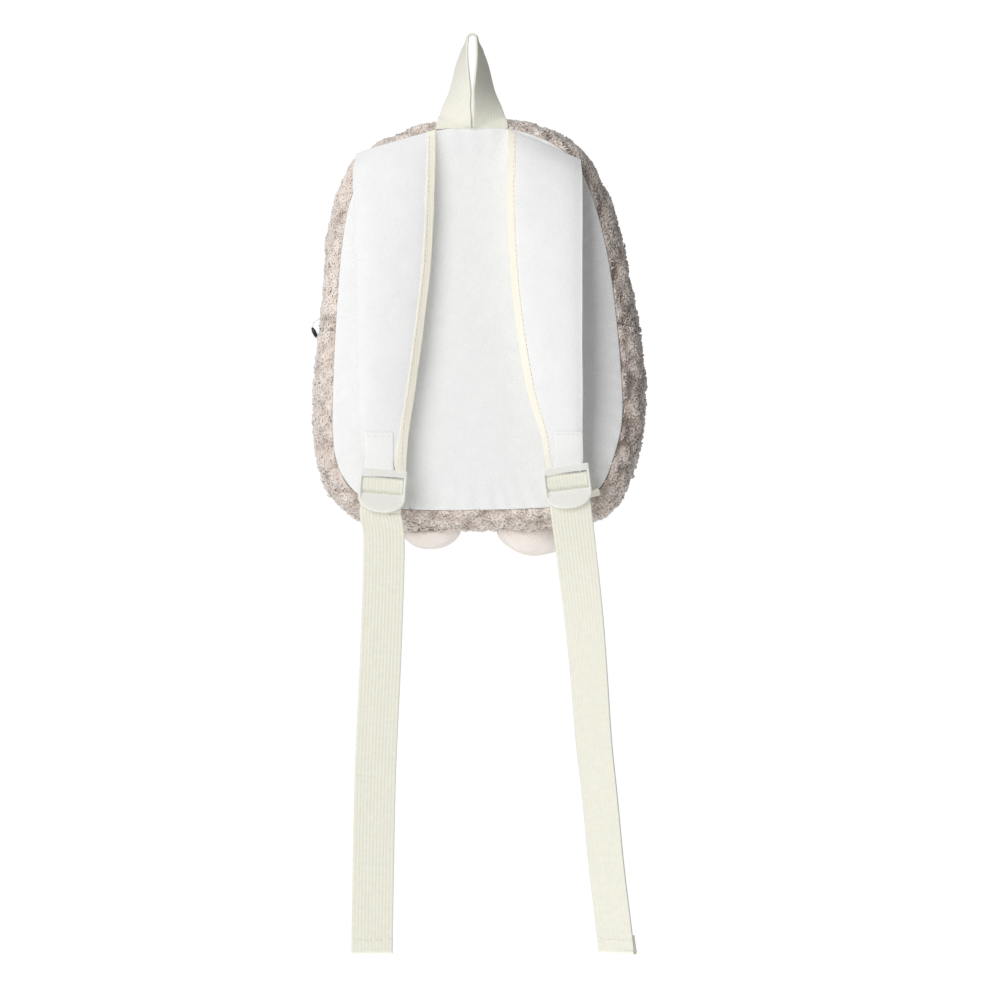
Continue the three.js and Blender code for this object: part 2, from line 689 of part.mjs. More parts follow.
// The tape hangs plumb over the bar, so it crosses the pad at one X.
function strapLoop(section, frame, side) {
  const lift = PIECE_GAP + LOOP_TAPE_THICKNESS / 2;
  const shift = LOOP_TAPE_SHIFT[side];
  const plumb = frame.place(shift, 0, 0);
  const padStation = (here, face) => {
    const across = here.half.clone().normalize();
    if (across.x < 0) across.negate();
    const u = (plumb.x - here.middle.x) / here.half.x;
    return { place: strapPoint(here, u, face, lift + PIECE_GAP / 2), across };
  };
  const stretch = spread(5).map((f) => section(THREE.MathUtils.lerp(LOOP_TAPE_START, 1, f)));
  const radius = TAPE_BAR_RADIUS + lift;
  const wrap = spread(LOOP_TAPE_STEPS).map((f) => {
    const angle = Math.PI * f;
    const place = frame.place(shift, TAPE_BAR_V - radius * Math.sin(angle), radius * Math.cos(angle));
    return { place, across: frame.u };
  });
  const stations = [
    ...stretch.map((here) => padStation(here, 1)),
    ...wrap,
    ...stretch.reverse().map((here) => padStation(here, -1)),
  ];
  return ribbon(stations.map((s) => ({ thickness: LOOP_TAPE_THICKNESS, ...s })), LOOP_TAPE_WIDTH);
}

// Webbing from the bottom seam, through the adjuster, to the hem of its tail

function leaned(point) {
  return point.clone().applyAxisAngle(DEPTH, BODY_LEAN);
}

function bottomSeamAt(x) {
  let [low, high] = [0.3, 0.7];
  for (let i = 0; i < 40; i += 1) {
    const middle = (low + high) / 2;
    if (seamAt(middle).x > x) low = middle;
    else high = middle;
  }
  return seamAt(low);
}

function webbing(frame, side) {
  const thread = (list) => list.map((p) => ({ place: frame.place(0, p.v, p.w), across: frame.u.clone() }));
  const bend = spread(THREAD_BEND.steps).map((f) => {
    const angle = Math.PI * (1 - f);
    return {
      v: THREAD_BEND.v + THREAD_BEND.radius * Math.sin(angle),
      w: THREAD_BEND.w + THREAD_BEND.radius * Math.cos(angle),
    };
  });
  const seam = bottomSeamAt(ANCHOR_X[side]);
  const sewn = (inset, lift) => leaned(
    new THREE.Vector3(seam.x, SEAM_Y - lift, seam.z).addScaledVector(seam.out, -inset),
  );
  const alongSeam = leaned(new THREE.Vector3(-seam.out.z, 0, seam.out.x));
  const blend = alongSeam.clone().add(frame.u).normalize();
  const anchor = ANCHOR_ROWS.map((row) => ({ place: sewn(row.inset, row.lift), across: alongSeam }));
  const firstThread = frame.place(0, THREAD_RISE[0].v, THREAD_RISE[0].w);
  const rise = anchor[1].place.clone().lerp(firstThread, 0.5);
  const rows = TAIL_ROWS[side];
  const lipEnd = THREAD_FALL[THREAD_FALL.length - 1];
  const route = new THREE.CatmullRomCurve3([
    frame.place(0, lipEnd.v, lipEnd.w),
    ...rows.map((row) => new THREE.Vector3(row.x, row.y, row.z)),
  ]);
  const turns = new THREE.CatmullRomCurve3([
    new THREE.Vector3(0, 0, 0),
    ...rows.map((row) => new THREE.Vector3(row.turn, row.z, 0)),
  ]);
  const tailStation = (f) => {
    const along = route.getTangent(f);
    const turn = THREE.MathUtils.degToRad(turns.getPoint(f).x);
    const across = frame.u.clone().lerp(new THREE.Vector3(1, 0, 0), Math.min(f * 6, 1));
    return { place: route.getPoint(f), across: across.applyAxisAngle(along, turn) };
  };
  const hemStart = 1 - HEM_LENGTH / route.getLength();
  const tail = spread(TAIL_STEPS).slice(1).map((f) => tailStation(f * hemStart));
  const hem = [hemStart + 0.002, 1].map((f) => ({ ...tailStation(f), thickness: HEM_THICKNESS }));
  const stations = [
    ...anchor,
    { place: rise, across: blend },
    ...thread(THREAD_RISE),
    ...thread(bend),
    ...thread(THREAD_FALL),
    ...tail,
    ...hem,
  ];
  return ribbon(stations.map((s) => ({ thickness: WEB_THICKNESS, ...s })), WEB_WIDTH);
}

// Materials

const finish = (color, roughness) => new THREE.MeshStandardMaterial({ color, roughness, metalness: 0 });
const taupePlush = () => finish('#b3a297', 0.95);
const whitePlush = () => finish('#ecedeb', 0.92);
const creamWebbing = () => finish('#efeee2', 0.85);
const creamBinding = () => finish('#f1eee4', 0.8);
const whiteTape = () => finish('#f0f0ee', 0.8);
const paleFoot = () => finish('#e7dbd1', 0.93);
const clearWhitePlastic = () => finish('#e4e3dc', 0.35);
const zipCloth = () => finish('#a5968b', 0.8);
const darkPull = () => finish('#1b1a1c', 0.45);

function named(name, geometry, material) {
  const mesh = new THREE.Mesh(geometry, material);
  mesh.name = name;
  return mesh;
}

const backpack = new THREE.Group();

const bag = new THREE.Group();
bag.rotation.y = BODY_LEAN;
backpack.add(bag);
const upperStrip = (from, to) => sideStrip(
  upperTurns,
  spread(UPPER_STEPS).map((f) => THREE.MathUtils.lerp(from, to, f)),
);
bag.add(named('back_panel', backPanel(), whitePlush()));
bag.add(named('gusset_upper_back', upperStrip(0, zipBackShare), taupePlush()));
bag.add(named('gusset_upper_front', upperStrip(zipFrontShare, 1), taupePlush()));
bag.add(named('gusset_lower', sideStrip(lowerTurns, spread(LOWER_STEPS)), taupePlush()));
bag.add(named('front_panel', wallBetween(domeRows(0), domeRows(-PLUSH_WALL), true), taupePlush()));
bag.add(named('zip_tape', zipTape(), zipCloth()));
bag.add(named('zip_slider', zipSlider(), darkPull()));
FOOT_ROWS.forEach((row) => bag.add(named(row.name, foot(row), paleFoot())));
backpack.add(named('hang_loop', hangLoop(), creamWebbing()));

['left', 'right'].forEach((side) => {
  const section = strapSection(STRAP_ROWS[side]);
  const frame = adjusterFrame(section);
  backpack.add(named(`${side}_strap_pad`, strapPad(section), whitePlush()));
  const binding = strapBinding(section, BINDING_END_REACH[side]);
  backpack.add(named(`${side}_strap_binding`, binding, creamBinding()));
  backpack.add(named(`${side}_strap_loop`, strapLoop(section, frame, side), whiteTape()));
  const buckle = named(`${side}_adjuster`, adjuster(), clearWhitePlastic());
  buckle.quaternion.setFromRotationMatrix(new THREE.Matrix4().makeBasis(frame.u, frame.v, frame.w));
  buckle.position.copy(frame.origin);
  backpack.add(buckle);
  backpack.add(named(`${side}_webbing`, webbing(frame, side), creamWebbing()));
});

export default backpack;
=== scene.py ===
import math

import bmesh
import bpy
import numpy as np
from mathutils import Matrix, Vector, noise
from mathutils.bvhtree import BVHTree


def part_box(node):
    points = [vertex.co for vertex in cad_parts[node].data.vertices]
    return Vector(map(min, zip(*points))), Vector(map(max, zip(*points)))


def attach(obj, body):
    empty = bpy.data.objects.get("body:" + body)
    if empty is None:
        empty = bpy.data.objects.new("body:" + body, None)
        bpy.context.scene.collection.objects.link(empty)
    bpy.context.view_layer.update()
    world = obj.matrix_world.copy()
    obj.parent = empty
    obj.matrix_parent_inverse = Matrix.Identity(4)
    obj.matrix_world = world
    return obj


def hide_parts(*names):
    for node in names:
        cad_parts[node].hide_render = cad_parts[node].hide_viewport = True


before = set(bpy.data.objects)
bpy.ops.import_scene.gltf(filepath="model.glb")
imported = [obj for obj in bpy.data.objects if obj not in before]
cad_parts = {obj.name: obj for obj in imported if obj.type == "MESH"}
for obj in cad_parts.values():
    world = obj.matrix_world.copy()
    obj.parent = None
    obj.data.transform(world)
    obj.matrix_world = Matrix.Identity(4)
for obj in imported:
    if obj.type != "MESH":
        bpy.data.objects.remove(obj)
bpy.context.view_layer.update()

# Back panel
# One cut of fine white brushed plush, sewn all round into the seam at the back of the bag.
# It hangs a little slack, so it ripples softly and puckers where the stitches gather it.
MM = 0.001
BAG_MIDDLE = Vector((0.0045, 0.02, -0.182))
PANEL_SLACK = 0.9 * MM
PANEL_RIPPLE = 55 * MM
PANEL_PUCKER = 0.5 * MM
PANEL_TUCK = 0.6 * MM
PUCKERS_ROUND = 64
PUCKER_DRIFT = 30 * MM
PUCKER_UNEVENNESS = 3
PUCKER_FROM = 0.35
TUCK_FROM = 0.6
MERGE_DISTANCE = 0.01 * MM
QUAD_BEND = math.radians(40)
QUAD_SKEW = math.radians(80)
CREASE_ANGLE = math.radians(50)
# WHITE_ROOT is the white pile darkened by painted shade where it lies low; WHITE_TIP is its top.
WHITE_TIP = (0.85, 0.856, 0.85, 1)
WHITE_ROOT = (0.79, 0.798, 0.792, 1)
WHITE_FIBRES = 1100
WHITE_PILE_DEPTH = 0.4 * MM
WHITE_SHEEN = 0.25
FIBRE_SHARE = 0.65
PATCHES_PER_FIBRE = 0.09
PILE_HEIGHTS = (0.3, 0.62)


def cad_shape(node):
    """A merged copy of a CAD node's mesh, with its pairs of triangles joined to quads."""
    bm = bmesh.new()
    bm.from_mesh(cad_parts[node].data)
    bmesh.ops.remove_doubles(bm, verts=bm.verts, dist=MERGE_DISTANCE)
    bmesh.ops.join_triangles(
        bm, faces=bm.faces, angle_face_threshold=QUAD_BEND, angle_shape_threshold=QUAD_SKEW
    )
    return bm


def linked(name, data):
    """A new object of the data, linked to the scene."""
    obj = bpy.data.objects.new(name, data)
    bpy.context.scene.collection.objects.link(obj)
    return obj


def placed(bm, name):
    """A smooth-shaded object of the shape, with its place in its mesh."""
    mesh = bpy.data.meshes.new(name)
    bm.to_mesh(mesh)
    bm.free()
    mesh.shade_smooth()
    return linked(name, mesh)


def settled(obj):
    """The same object with its modifiers worked into its mesh."""
    bpy.context.view_layer.update()
    graph = bpy.context.evaluated_depsgraph_get()
    mesh = bpy.data.meshes.new_from_object(
        obj.evaluated_get(graph), preserve_all_data_layers=True, depsgraph=graph
    )
    raw = obj.data
    obj.modifiers.clear()
    obj.data = mesh
    bpy.data.meshes.remove(raw)
    mesh.name = obj.name
    return obj


def subdivided(bm, levels, crease=0.6):
    """The shape after smooth subdivision, with its sharp edges kept by a crease."""
    layer = bm.edges.layers.float.new("crease_edge")
    for edge in bm.edges:
        if edge.calc_face_angle(0) > CREASE_ANGLE:
            edge[layer] = crease
    obj = placed(bm, "shaping")
    finish = obj.modifiers.new("subdivision", "SUBSURF")
    finish.levels = finish.render_levels = levels
    settled(obj)
    fine = bmesh.new()
    fine.from_mesh(obj.data)
    mesh = obj.data
    bpy.data.objects.remove(obj)
    bpy.data.meshes.remove(mesh)
    return fine


def shader_group(name, inputs, outputs):
    """An empty shader node group with named sockets, and its input and output nodes."""
    group = bpy.data.node_groups.new(name, "ShaderNodeTree")
    for label, kind in inputs:
        group.interface.new_socket(label, in_out="INPUT", socket_type=kind)
    for label, kind in outputs:
        group.interface.new_socket(label, in_out="OUTPUT", socket_type=kind)
    return group, group.nodes.new("NodeGroupInput"), group.nodes.new("NodeGroupOutput")


def fed(tree, socket, value):
    """Links a socket to another one, or gives it a plain value."""
    if isinstance(value, bpy.types.NodeSocket):
        tree.links.new(value, socket)
    else:
        socket.default_value = value


def math_node(tree, operation, *values):
    """A math node fed by sockets or plain numbers; gives its output."""
    node = tree.nodes.new("ShaderNodeMath")
    node.operation = operation
    for socket, value in zip(node.inputs, values):
        fed(tree, socket, value)
    return node.outputs[0]


def noise_node(tree, place, scale, detail):
    """Soft noise over a place; scale is a socket or a number."""
    node = tree.nodes.new("ShaderNodeTexNoise")
    node.inputs["Detail"].default_value = detail
    tree.links.new(place, node.inputs["Vector"])
    fed(tree, node.inputs["Scale"], scale)
    return node.outputs["Fac"]


def blended(tree, share, low, high):
    """A colour between two colours or sockets, by a share."""
    node = tree.nodes.new("ShaderNodeMix")
    node.data_type = "RGBA"
    tree.links.new(share, node.inputs["Factor"])
    for label, value in (("A", low), ("B", high)):
        fed(tree, next(s for s in node.inputs if s.name == label and s.type == "RGBA"), value)
    return next(s for s in node.outputs if s.type == "RGBA")


def ranged(tree, value, low, high):
    """A value stretched from low..high to 0..1, clamped."""
    node = tree.nodes.new("ShaderNodeMapRange")
    tree.links.new(value, node.inputs["Value"])
    node.inputs["From Min"].default_value = low
    node.inputs["From Max"].default_value = high
    return node.outputs["Result"]


def brushed_pile():
    """Fine brushed pile: soft fibres, and the broad patches that a hand leaves in it; where the pile lies
    low its colour falls to the Root colour, painted shade in its hollows.
    """
    group, inside, outside = shader_group(
        "Brushed pile",
        [("Tip", "NodeSocketColor"), ("Root", "NodeSocketColor"), ("Fibre Scale", "NodeSocketFloat")],
        [("Color", "NodeSocketColor"), ("Height", "NodeSocketFloat")],
    )
    place = group.nodes.new("ShaderNodeTexCoord").outputs["Object"]
    fibres = noise_node(group, place, inside.outputs["Fibre Scale"], 4)
    patch_scale = math_node(group, "MULTIPLY", inside.outputs["Fibre Scale"], PATCHES_PER_FIBRE)
    patches = noise_node(group, place, patch_scale, 3)
    fine = math_node(group, "MULTIPLY", fibres, FIBRE_SHARE)
    broad = math_node(group, "MULTIPLY", patches, 1 - FIBRE_SHARE)
    height = math_node(group, "ADD", fine, broad)
    # Painted shade: the lower the pile, the nearer its colour comes to the darker Root colour, besides its
    # random fibres and patches.
    share = ranged(group, height, *PILE_HEIGHTS)
    colour = blended(group, share, inside.outputs["Root"], inside.outputs["Tip"])
    group.links.new(colour, outside.inputs["Color"])
    group.links.new(height, outside.inputs["Height"])
    return group


def bare_material(name, roughness, sheen=0.0, sheen_roughness=0.5, specular=0.3):
    """A material with a Principled shader; gives the material, its tree and its shader."""
    material = bpy.data.materials.new(name)
    material.use_nodes = True
    shader = material.node_tree.nodes["Principled BSDF"]
    shader.inputs["Roughness"].default_value = roughness
    shader.inputs["Sheen Weight"].default_value = sheen
    shader.inputs["Sheen Roughness"].default_value = sheen_roughness
    shader.inputs["Specular IOR Level"].default_value = specular
    return material, material.node_tree, shader


def bumped(tree, shader, height, distance):
    """Feeds a height to the shader's normal through a Bump node."""
    bump = tree.nodes.new("ShaderNodeBump")
    bump.inputs["Strength"].default_value = 1
    bump.inputs["Distance"].default_value = distance
    tree.links.new(height, bump.inputs["Height"])
    tree.links.new(bump.outputs["Normal"], shader.inputs["Normal"])


PILE = brushed_pile()


def plush_material(name, tip, root, fibre_scale, depth, sheen):
    """Short brushed plush in a tip and a root colour; the root colour is painted shade where the pile lies
    low.
    """
    material, tree, shader = bare_material(
        name, roughness=0.95, sheen=sheen, sheen_roughness=0.6, specular=0.15
    )
    pile = tree.nodes.new("ShaderNodeGroup")
    pile.node_tree = PILE
    pile.inputs["Tip"].default_value = tip
    pile.inputs["Root"].default_value = root
    pile.inputs["Fibre Scale"].default_value = fibre_scale
    tree.links.new(pile.outputs["Color"], shader.inputs["Base Color"])
    bumped(tree, shader, pile.outputs["Height"], depth)
    return material


def finished(obj, material, slot, *nodes):
    """Gives a piece its material and its body, and hides the CAD nodes that it stands for."""
    obj.data.materials.clear()
    obj.data.materials.append(material)
    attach(obj, "root")
    if nodes:
        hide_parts(*nodes)
    return obj


white_plush = plush_material(
    "white brushed plush", WHITE_TIP, WHITE_ROOT, WHITE_FIBRES, WHITE_PILE_DEPTH, WHITE_SHEEN
)

panel = subdivided(cad_shape("back_panel"), 3)
panel_low, panel_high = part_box("back_panel")
for vert in panel.verts:
    from_middle = Vector((vert.co.x - BAG_MIDDLE.x, 0, vert.co.z - BAG_MIDDLE.z))
    rim = (vert.co.y - panel_low[1]) / (panel_high[1] - panel_low[1])
    turn = math.atan2(from_middle.x, from_middle.z)
    slack = PANEL_SLACK * noise.noise(vert.co / PANEL_RIPPLE)
    uneven = PUCKER_UNEVENNESS * noise.noise(vert.co / PUCKER_DRIFT)
    pucker = PANEL_PUCKER * max(rim - PUCKER_FROM, 0) * math.sin(PUCKERS_ROUND * turn + uneven)
    vert.co.y += slack * (1 - rim) + pucker
    vert.co += from_middle.normalized() * PANEL_TUCK * max(rim - TUCK_FROM, 0) / (1 - TUCK_FROM)
back_panel = placed(panel, "back_panel_plush")
finished(back_panel, white_plush, "white_plush", "back_panel")

# Plush sides and front
# The bag's gusset and front are a curly taupe plush with a short pile that stands in tufts.
# The cloth is the CAD wall with the tufts raised in it, and its curls are small bent locks.
TUFT_SIZE = 9 * MM
TUFT_HEIGHT = 3.2 * MM
TUFT_FALL = 1.2
TUFT_WANDER = 2.2 * MM
TUFT_WANDER_SIZE = 9 * MM
TUFT_ROUNDNESS = 0.9
TUFT_SEED = 4
CLOTH_SINK = 2.0 * MM
OUTER_FACING = 0.35
GROWN_FACING = 0.2
END_FACING = 0.6
END_BACKWARD = -0.5
SEEN_DEPTH = 14 * MM
HIDDEN_DENSITY = 0.55
HIDDEN_GROWTH = 1.4
JOINT_DENSITY = 2.5
LOCK_SIDES = 3
LOCK_WIDTHS = (0.5 * MM, 0.54 * MM, 0.42 * MM)
LOCK_AWAY = 0.5
LOCK_SWIRL = 0.75
LOCK_SCATTER = 0.75
LOCK_RADII = (0.7 * MM, 1.2 * MM)
LOCK_GROWTH = (0.75, 0.45)
LOCK_TURNS = (2.3, 3.7)
LOCK_DRIFT = 0.45 * MM
LOCK_GIRTHS = (0.8, 1.25)
LOCK_RISE = 0.45 * MM
LOCK_ROOT = 0.5 * MM
LOCK_SOFTNESS = 0.6
# Painted shade: the shade value darkens the pile towards each lock's root and in the hollows between tufts,
# with a random tone per lock.
ALONG_SHADES = (0.0, 0.4, 0.75, 1.0)
LOCK_SHADES = (0.12, 0.14, 0.7)
LOCK_TONE = 0.1
CLOTH_SHADES = (0.3, 0.38)
PILE_CLEARNESS = 0.5
# TAUPE_ROOT is the painted shade of the roots and hollows; the ramp runs from it through TAUPE_MIDDLE to the
# pale TAUPE_TIP.
TAUPE_ROOT = (0.36, 0.285, 0.24, 1)
TAUPE_MIDDLE = (0.71, 0.615, 0.55, 1)
TAUPE_MIDDLE_AT = 0.45
TAUPE_TIP = (0.90, 0.82, 0.762, 1)
TAUPE_PATCHES = 95
TAUPE_UNEVENNESS = 0.45
FRONT_CROWN = 0.05
FRONT_SPREAD = 0.4

noise.seed_set(TUFT_SEED)


def tuft_at(place):
    """How high the curly cloth stands here, from 0 in a hollow to 1 on a tuft, and the tuft's middle."""
    bent = place + TUFT_WANDER * noise.noise_vector(place / TUFT_WANDER_SIZE)
    distances, middles = noise.voronoi(bent / TUFT_SIZE)
    return max(0.0, 1 - (TUFT_FALL * distances[0]) ** 2), middles[0] * TUFT_SIZE


def unit_rows(rows):
    """Rows of directions, each brought to length 1."""
    return rows / np.maximum(np.linalg.norm(rows, axis=1, keepdims=True), 1e-6)


def flattened(ways, normals):
    """Directions laid square to these normals, each of length 1."""
    return unit_rows(ways - normals * np.sum(ways * normals, axis=1, keepdims=True))


def curls(roots, normals, tufts, middles, leans, sizes, seed):
    """Points, triangles, shades and soft normals of bent locks, one at each root."""
    rng = np.random.default_rng(seed)
    count, rings = len(roots), len(LOCK_WIDTHS)
    away = flattened(roots - middles, normals)
    swirl = np.cross(normals, away)
    scatter = rng.normal(0, LOCK_SCATTER, (count, 3))
    lie = flattened(LOCK_AWAY * away + LOCK_SWIRL * swirl + scatter, normals)
    side = np.cross(normals, lie)
    in_hollow, on_tuft = LOCK_GROWTH
    radius = rng.uniform(*LOCK_RADII, count) * (in_hollow + on_tuft * tufts) * sizes
    turn = rng.uniform(*LOCK_TURNS, count)
    drift = rng.uniform(-LOCK_DRIFT, LOCK_DRIFT, count) * sizes
    girth = rng.uniform(*LOCK_GIRTHS, count) * sizes
    points = np.empty((count, rings * LOCK_SIDES + 1, 3))
    soft = np.empty_like(points)
    for ring, width in enumerate((*LOCK_WIDTHS, 0)):
        angle = turn * ring / rings
        rise = radius * np.sin(angle) + (LOCK_RISE * ring / rings if ring else -LOCK_ROOT)
        run = radius * (1 - np.cos(angle))
        middle = roots + normals * rise[:, None] + lie * run[:, None] + side * (drift * angle)[:, None]
        outward = normals * np.sin(angle)[:, None] - lie * np.cos(angle)[:, None]
        for step in range(LOCK_SIDES if width else 1):
            bend = 2 * math.pi * step / LOCK_SIDES
            offset = outward * math.cos(bend) + side * math.sin(bend)
            points[:, ring * LOCK_SIDES + step] = middle + offset * (width * girth)[:, None]
            soft[:, ring * LOCK_SIDES + step] = LOCK_SOFTNESS * leans + (1 - LOCK_SOFTNESS) * offset
    faces = []
    tip = rings * LOCK_SIDES
    for step in range(LOCK_SIDES):
        after = (step + 1) % LOCK_SIDES
        for ring in range(0, tip - LOCK_SIDES, LOCK_SIDES):
            a, b = ring + step, ring + after
            faces += [(a, b + LOCK_SIDES, b), (a, a + LOCK_SIDES, b + LOCK_SIDES)]
        faces.append((tip - LOCK_SIDES + after, tip - LOCK_SIDES + step, tip))
    triangles = (np.array(faces)[None] + (np.arange(count) * (tip + 1))[:, None, None]).reshape(-1, 3)
    # Painted shade: each lock is darker towards its root and in the hollows between tufts; the tone added
    # after is random.
    along = np.repeat(np.array(ALONG_SHADES), [LOCK_SIDES] * rings + [1])
    tone = rng.uniform(-LOCK_TONE, LOCK_TONE, count)[:, None]
    lowest, by_length, by_tuft = LOCK_SHADES
    shades = np.clip(lowest + by_length * along[None] + by_tuft * tufts[:, None] + tone, 0, 1)
    return points.reshape(-1, 3), triangles, shades.reshape(-1), soft.reshape(-1, 3)


def joined_mesh(name, parts):
    """One object from several sets of points, triangles, shades and normals, the shades as an attribute."""
    points, _, shades, normals = (np.concatenate([part[k] for part in parts]) for k in range(4))
    starts = np.cumsum([0] + [len(part[0]) for part in parts[:-1]])
    triangles = np.concatenate([part[1] + start for part, start in zip(parts, starts)])
    mesh = bpy.data.meshes.new(name)
    mesh.from_pydata(points, [], triangles)
    mesh.attributes.new("shade", "FLOAT", "POINT").data.foreach_set("value", shades.astype(np.float32))
    mesh.shade_smooth()
    mesh.normals_split_custom_set_from_vertices(unit_rows(normals))
    return linked(name, mesh)


def tufted_cloth(node, outwards):
    """A CAD wall with tufts raised on its outer side, each point's tuft height and its way out."""
    cloth = subdivided(cad_shape(node), 2, crease=0.9)
    cloth.normal_update()
    lifts, tufts = {}, {}
    for vert in cloth.verts:
        outer = [f.normal for f in vert.link_faces if f.normal.dot(outwards(vert.co)) > OUTER_FACING]
        if outer:
            tufts[vert.index] = tuft_at(vert.co)[0]
            lifts[vert.index] = sum(outer, Vector()).normalized()
    for vert in cloth.verts:
        if vert.index in tufts:
            vert.co += lifts[vert.index] * (TUFT_HEIGHT * tufts[vert.index] - CLOTH_SINK)
    cloth.normal_update()
    return cloth, tufts, lifts


def grown_faces(cloth, tufts, outwards):
    """The faces that locks grow on, with each one's share of the locks."""
    facing = {f: f.normal.dot(outwards(f.calc_center_median())) for f in cloth.faces}
    ends = {f for f in cloth.faces if f.normal.y > END_BACKWARD and abs(facing[f]) < END_FACING}
    grown = [
        f for f in cloth.faces
        if sum(v.index in tufts for v in f.verts) > 1 and (facing[f] > GROWN_FACING or f in ends)
    ]
    weights = np.array([face.calc_area() for face in grown])
    weights[[face.calc_center_median().y > SEEN_DEPTH for face in grown]] *= HIDDEN_DENSITY
    weights[[face in ends for face in grown]] *= JOINT_DENSITY
    return grown, weights


def curly_piece(node, outwards, locks, size, seed):
    """A tufted wall with locks of curl spread over its outer side."""
    cloth, tufts, lifts = tufted_cloth(node, outwards)
    grown, weights = grown_faces(cloth, tufts, outwards)
    rng = np.random.default_rng(seed)
    places = (np.arange(locks) + rng.random(locks)) / locks
    roots, normals, raised, middles, leans = [], [], [], [], []
    for pick in np.searchsorted(np.cumsum(weights) / weights.sum(), places):
        face = grown[min(pick, len(grown) - 1)]
        shares = rng.dirichlet(np.ones(len(face.verts)))
        root = sum((v.co * s for v, s in zip(face.verts, shares)), Vector())
        height, middle = tuft_at(root)
        roots.append(root)
        normals.append(sum((lifts[v.index] for v in face.verts if v.index in lifts), Vector()).normalized())
        raised.append(height)
        middles.append(middle)
        lean = sum((v.normal * s for v, s in zip(face.verts, shares)), Vector()).normalized()
        leans.append(lean + TUFT_ROUNDNESS * (lean - normals[-1]))
    sizes = [size * (HIDDEN_GROWTH if root.y > SEEN_DEPTH else 1) for root in roots]
    pile = curls(*map(np.array, (roots, normals, raised, middles, leans, sizes)), seed + 1)
    bmesh.ops.triangulate(cloth, faces=cloth.faces)
    points = np.array([v.co for v in cloth.verts])
    triangles = np.array([[v.index for v in f.verts] for f in cloth.faces])
    # Painted shade: the cloth under the locks is darker in the hollows between tufts.
    lowest, by_tuft = CLOTH_SHADES
    shades = np.array([lowest + by_tuft * tufts.get(v.index, 0) for v in cloth.verts])
    smooth = np.array([v.normal for v in cloth.verts])
    cloth.free()
    return joined_mesh(node + "_curls", [(points, triangles, shades, smooth), pile])


def let_through(material, share):
    """Lets a share of the light that meets a thin or milky piece pass on through it."""
    tree = material.node_tree
    shadow = tree.nodes.new("ShaderNodeLightPath").outputs["Is Shadow Ray"]
    passing = tree.nodes.new("ShaderNodeMixShader")
    tree.links.new(math_node(tree, "MULTIPLY", shadow, share), passing.inputs[0])
    tree.links.new(tree.nodes["Principled BSDF"].outputs[0], passing.inputs[1])
    tree.links.new(tree.nodes.new("ShaderNodeBsdfTransparent").outputs[0], passing.inputs[2])
    tree.links.new(passing.outputs[0], tree.nodes["Material Output"].inputs["Surface"])


def curly_material():
    """Taupe plush coloured by its shade attribute: painted shade makes it dark at its roots and in the
    hollows between tufts, and it is pale at its tips.
    """
    material, tree, shader = bare_material("taupe curly plush", roughness=0.9, sheen=0.5, specular=0.15)
    shade = tree.nodes.new("ShaderNodeAttribute")
    shade.attribute_name = "shade"
    place = tree.nodes.new("ShaderNodeTexCoord").outputs["Object"]
    patches = noise_node(tree, place, TAUPE_PATCHES, 2)
    uneven = math_node(tree, "MULTIPLY", math_node(tree, "SUBTRACT", patches, 0.5), TAUPE_UNEVENNESS)
    ramp = tree.nodes.new("ShaderNodeValToRGB")
    ramp.color_ramp.elements[0].color = TAUPE_ROOT
    ramp.color_ramp.elements[1].color = TAUPE_TIP
    middle = ramp.color_ramp.elements.new(TAUPE_MIDDLE_AT)
    middle.color = TAUPE_MIDDLE
    tree.links.new(math_node(tree, "ADD", shade.outputs["Fac"], uneven), ramp.inputs["Fac"])
    tree.links.new(ramp.outputs["Color"], shader.inputs["Base Color"])
    let_through(material, PILE_CLEARNESS)
    return material


def from_axis(place):
    """Straight out from the middle of the bag, across its depth."""
    return Vector((place.x - BAG_MIDDLE.x, 0, place.z - BAG_MIDDLE.z)).normalized()


def to_front(place):
    """Out of the front panel's crown."""
    spread = FRONT_SPREAD * Vector((place.x - BAG_MIDDLE.x, 0, place.z - BAG_MIDDLE.z))
    return (Vector((0, FRONT_CROWN, 0)) + spread).normalized()


taupe_curls = curly_material()
for node, outwards, locks, size, seed in (
    ("gusset_lower", from_axis, 11200, 1.0, 11),
    ("gusset_upper_back", from_axis, 8200, 1.0, 23),
    ("gusset_upper_front", from_axis, 6000, 0.9, 37),
    ("front_panel", to_front, 9000, 1.05, 51),
):
    finished(curly_piece(node, outwards, locks, size, seed), taupe_curls, "taupe_plush", node)

# Feet
# Two stuffed feet in pale peach plush are caught in the front seam and hang below the bag.
# Each is a soft ball, flattened where the bag sits on it.
FOOT_VOXEL = 2.4 * MM
FOOT_ROUNDS = 6
FOOT_DENT = 0.7 * MM
FOOT_DENT_SIZE = 9 * MM
# PEACH_ROOT is the peach pile darkened by painted shade where it lies low.
PEACH_TIP = (0.98, 0.915, 0.86, 1)
PEACH_ROOT = (0.93, 0.84, 0.77, 1)
PEACH_FIBRES = 800
PEACH_PILE_DEPTH = 0.8 * MM
PEACH_SHEEN = 0.35


def fuse_and_soften(obj, voxel, rounds):
    """Gives an object a voxel remesh, which fuses its shapes, and rounds of smoothing."""
    even = obj.modifiers.new("even", "REMESH")
    even.mode = "VOXEL"
    even.voxel_size = voxel
    soften = obj.modifiers.new("soften", "SMOOTH")
    soften.factor = 0.5
    soften.iterations = rounds


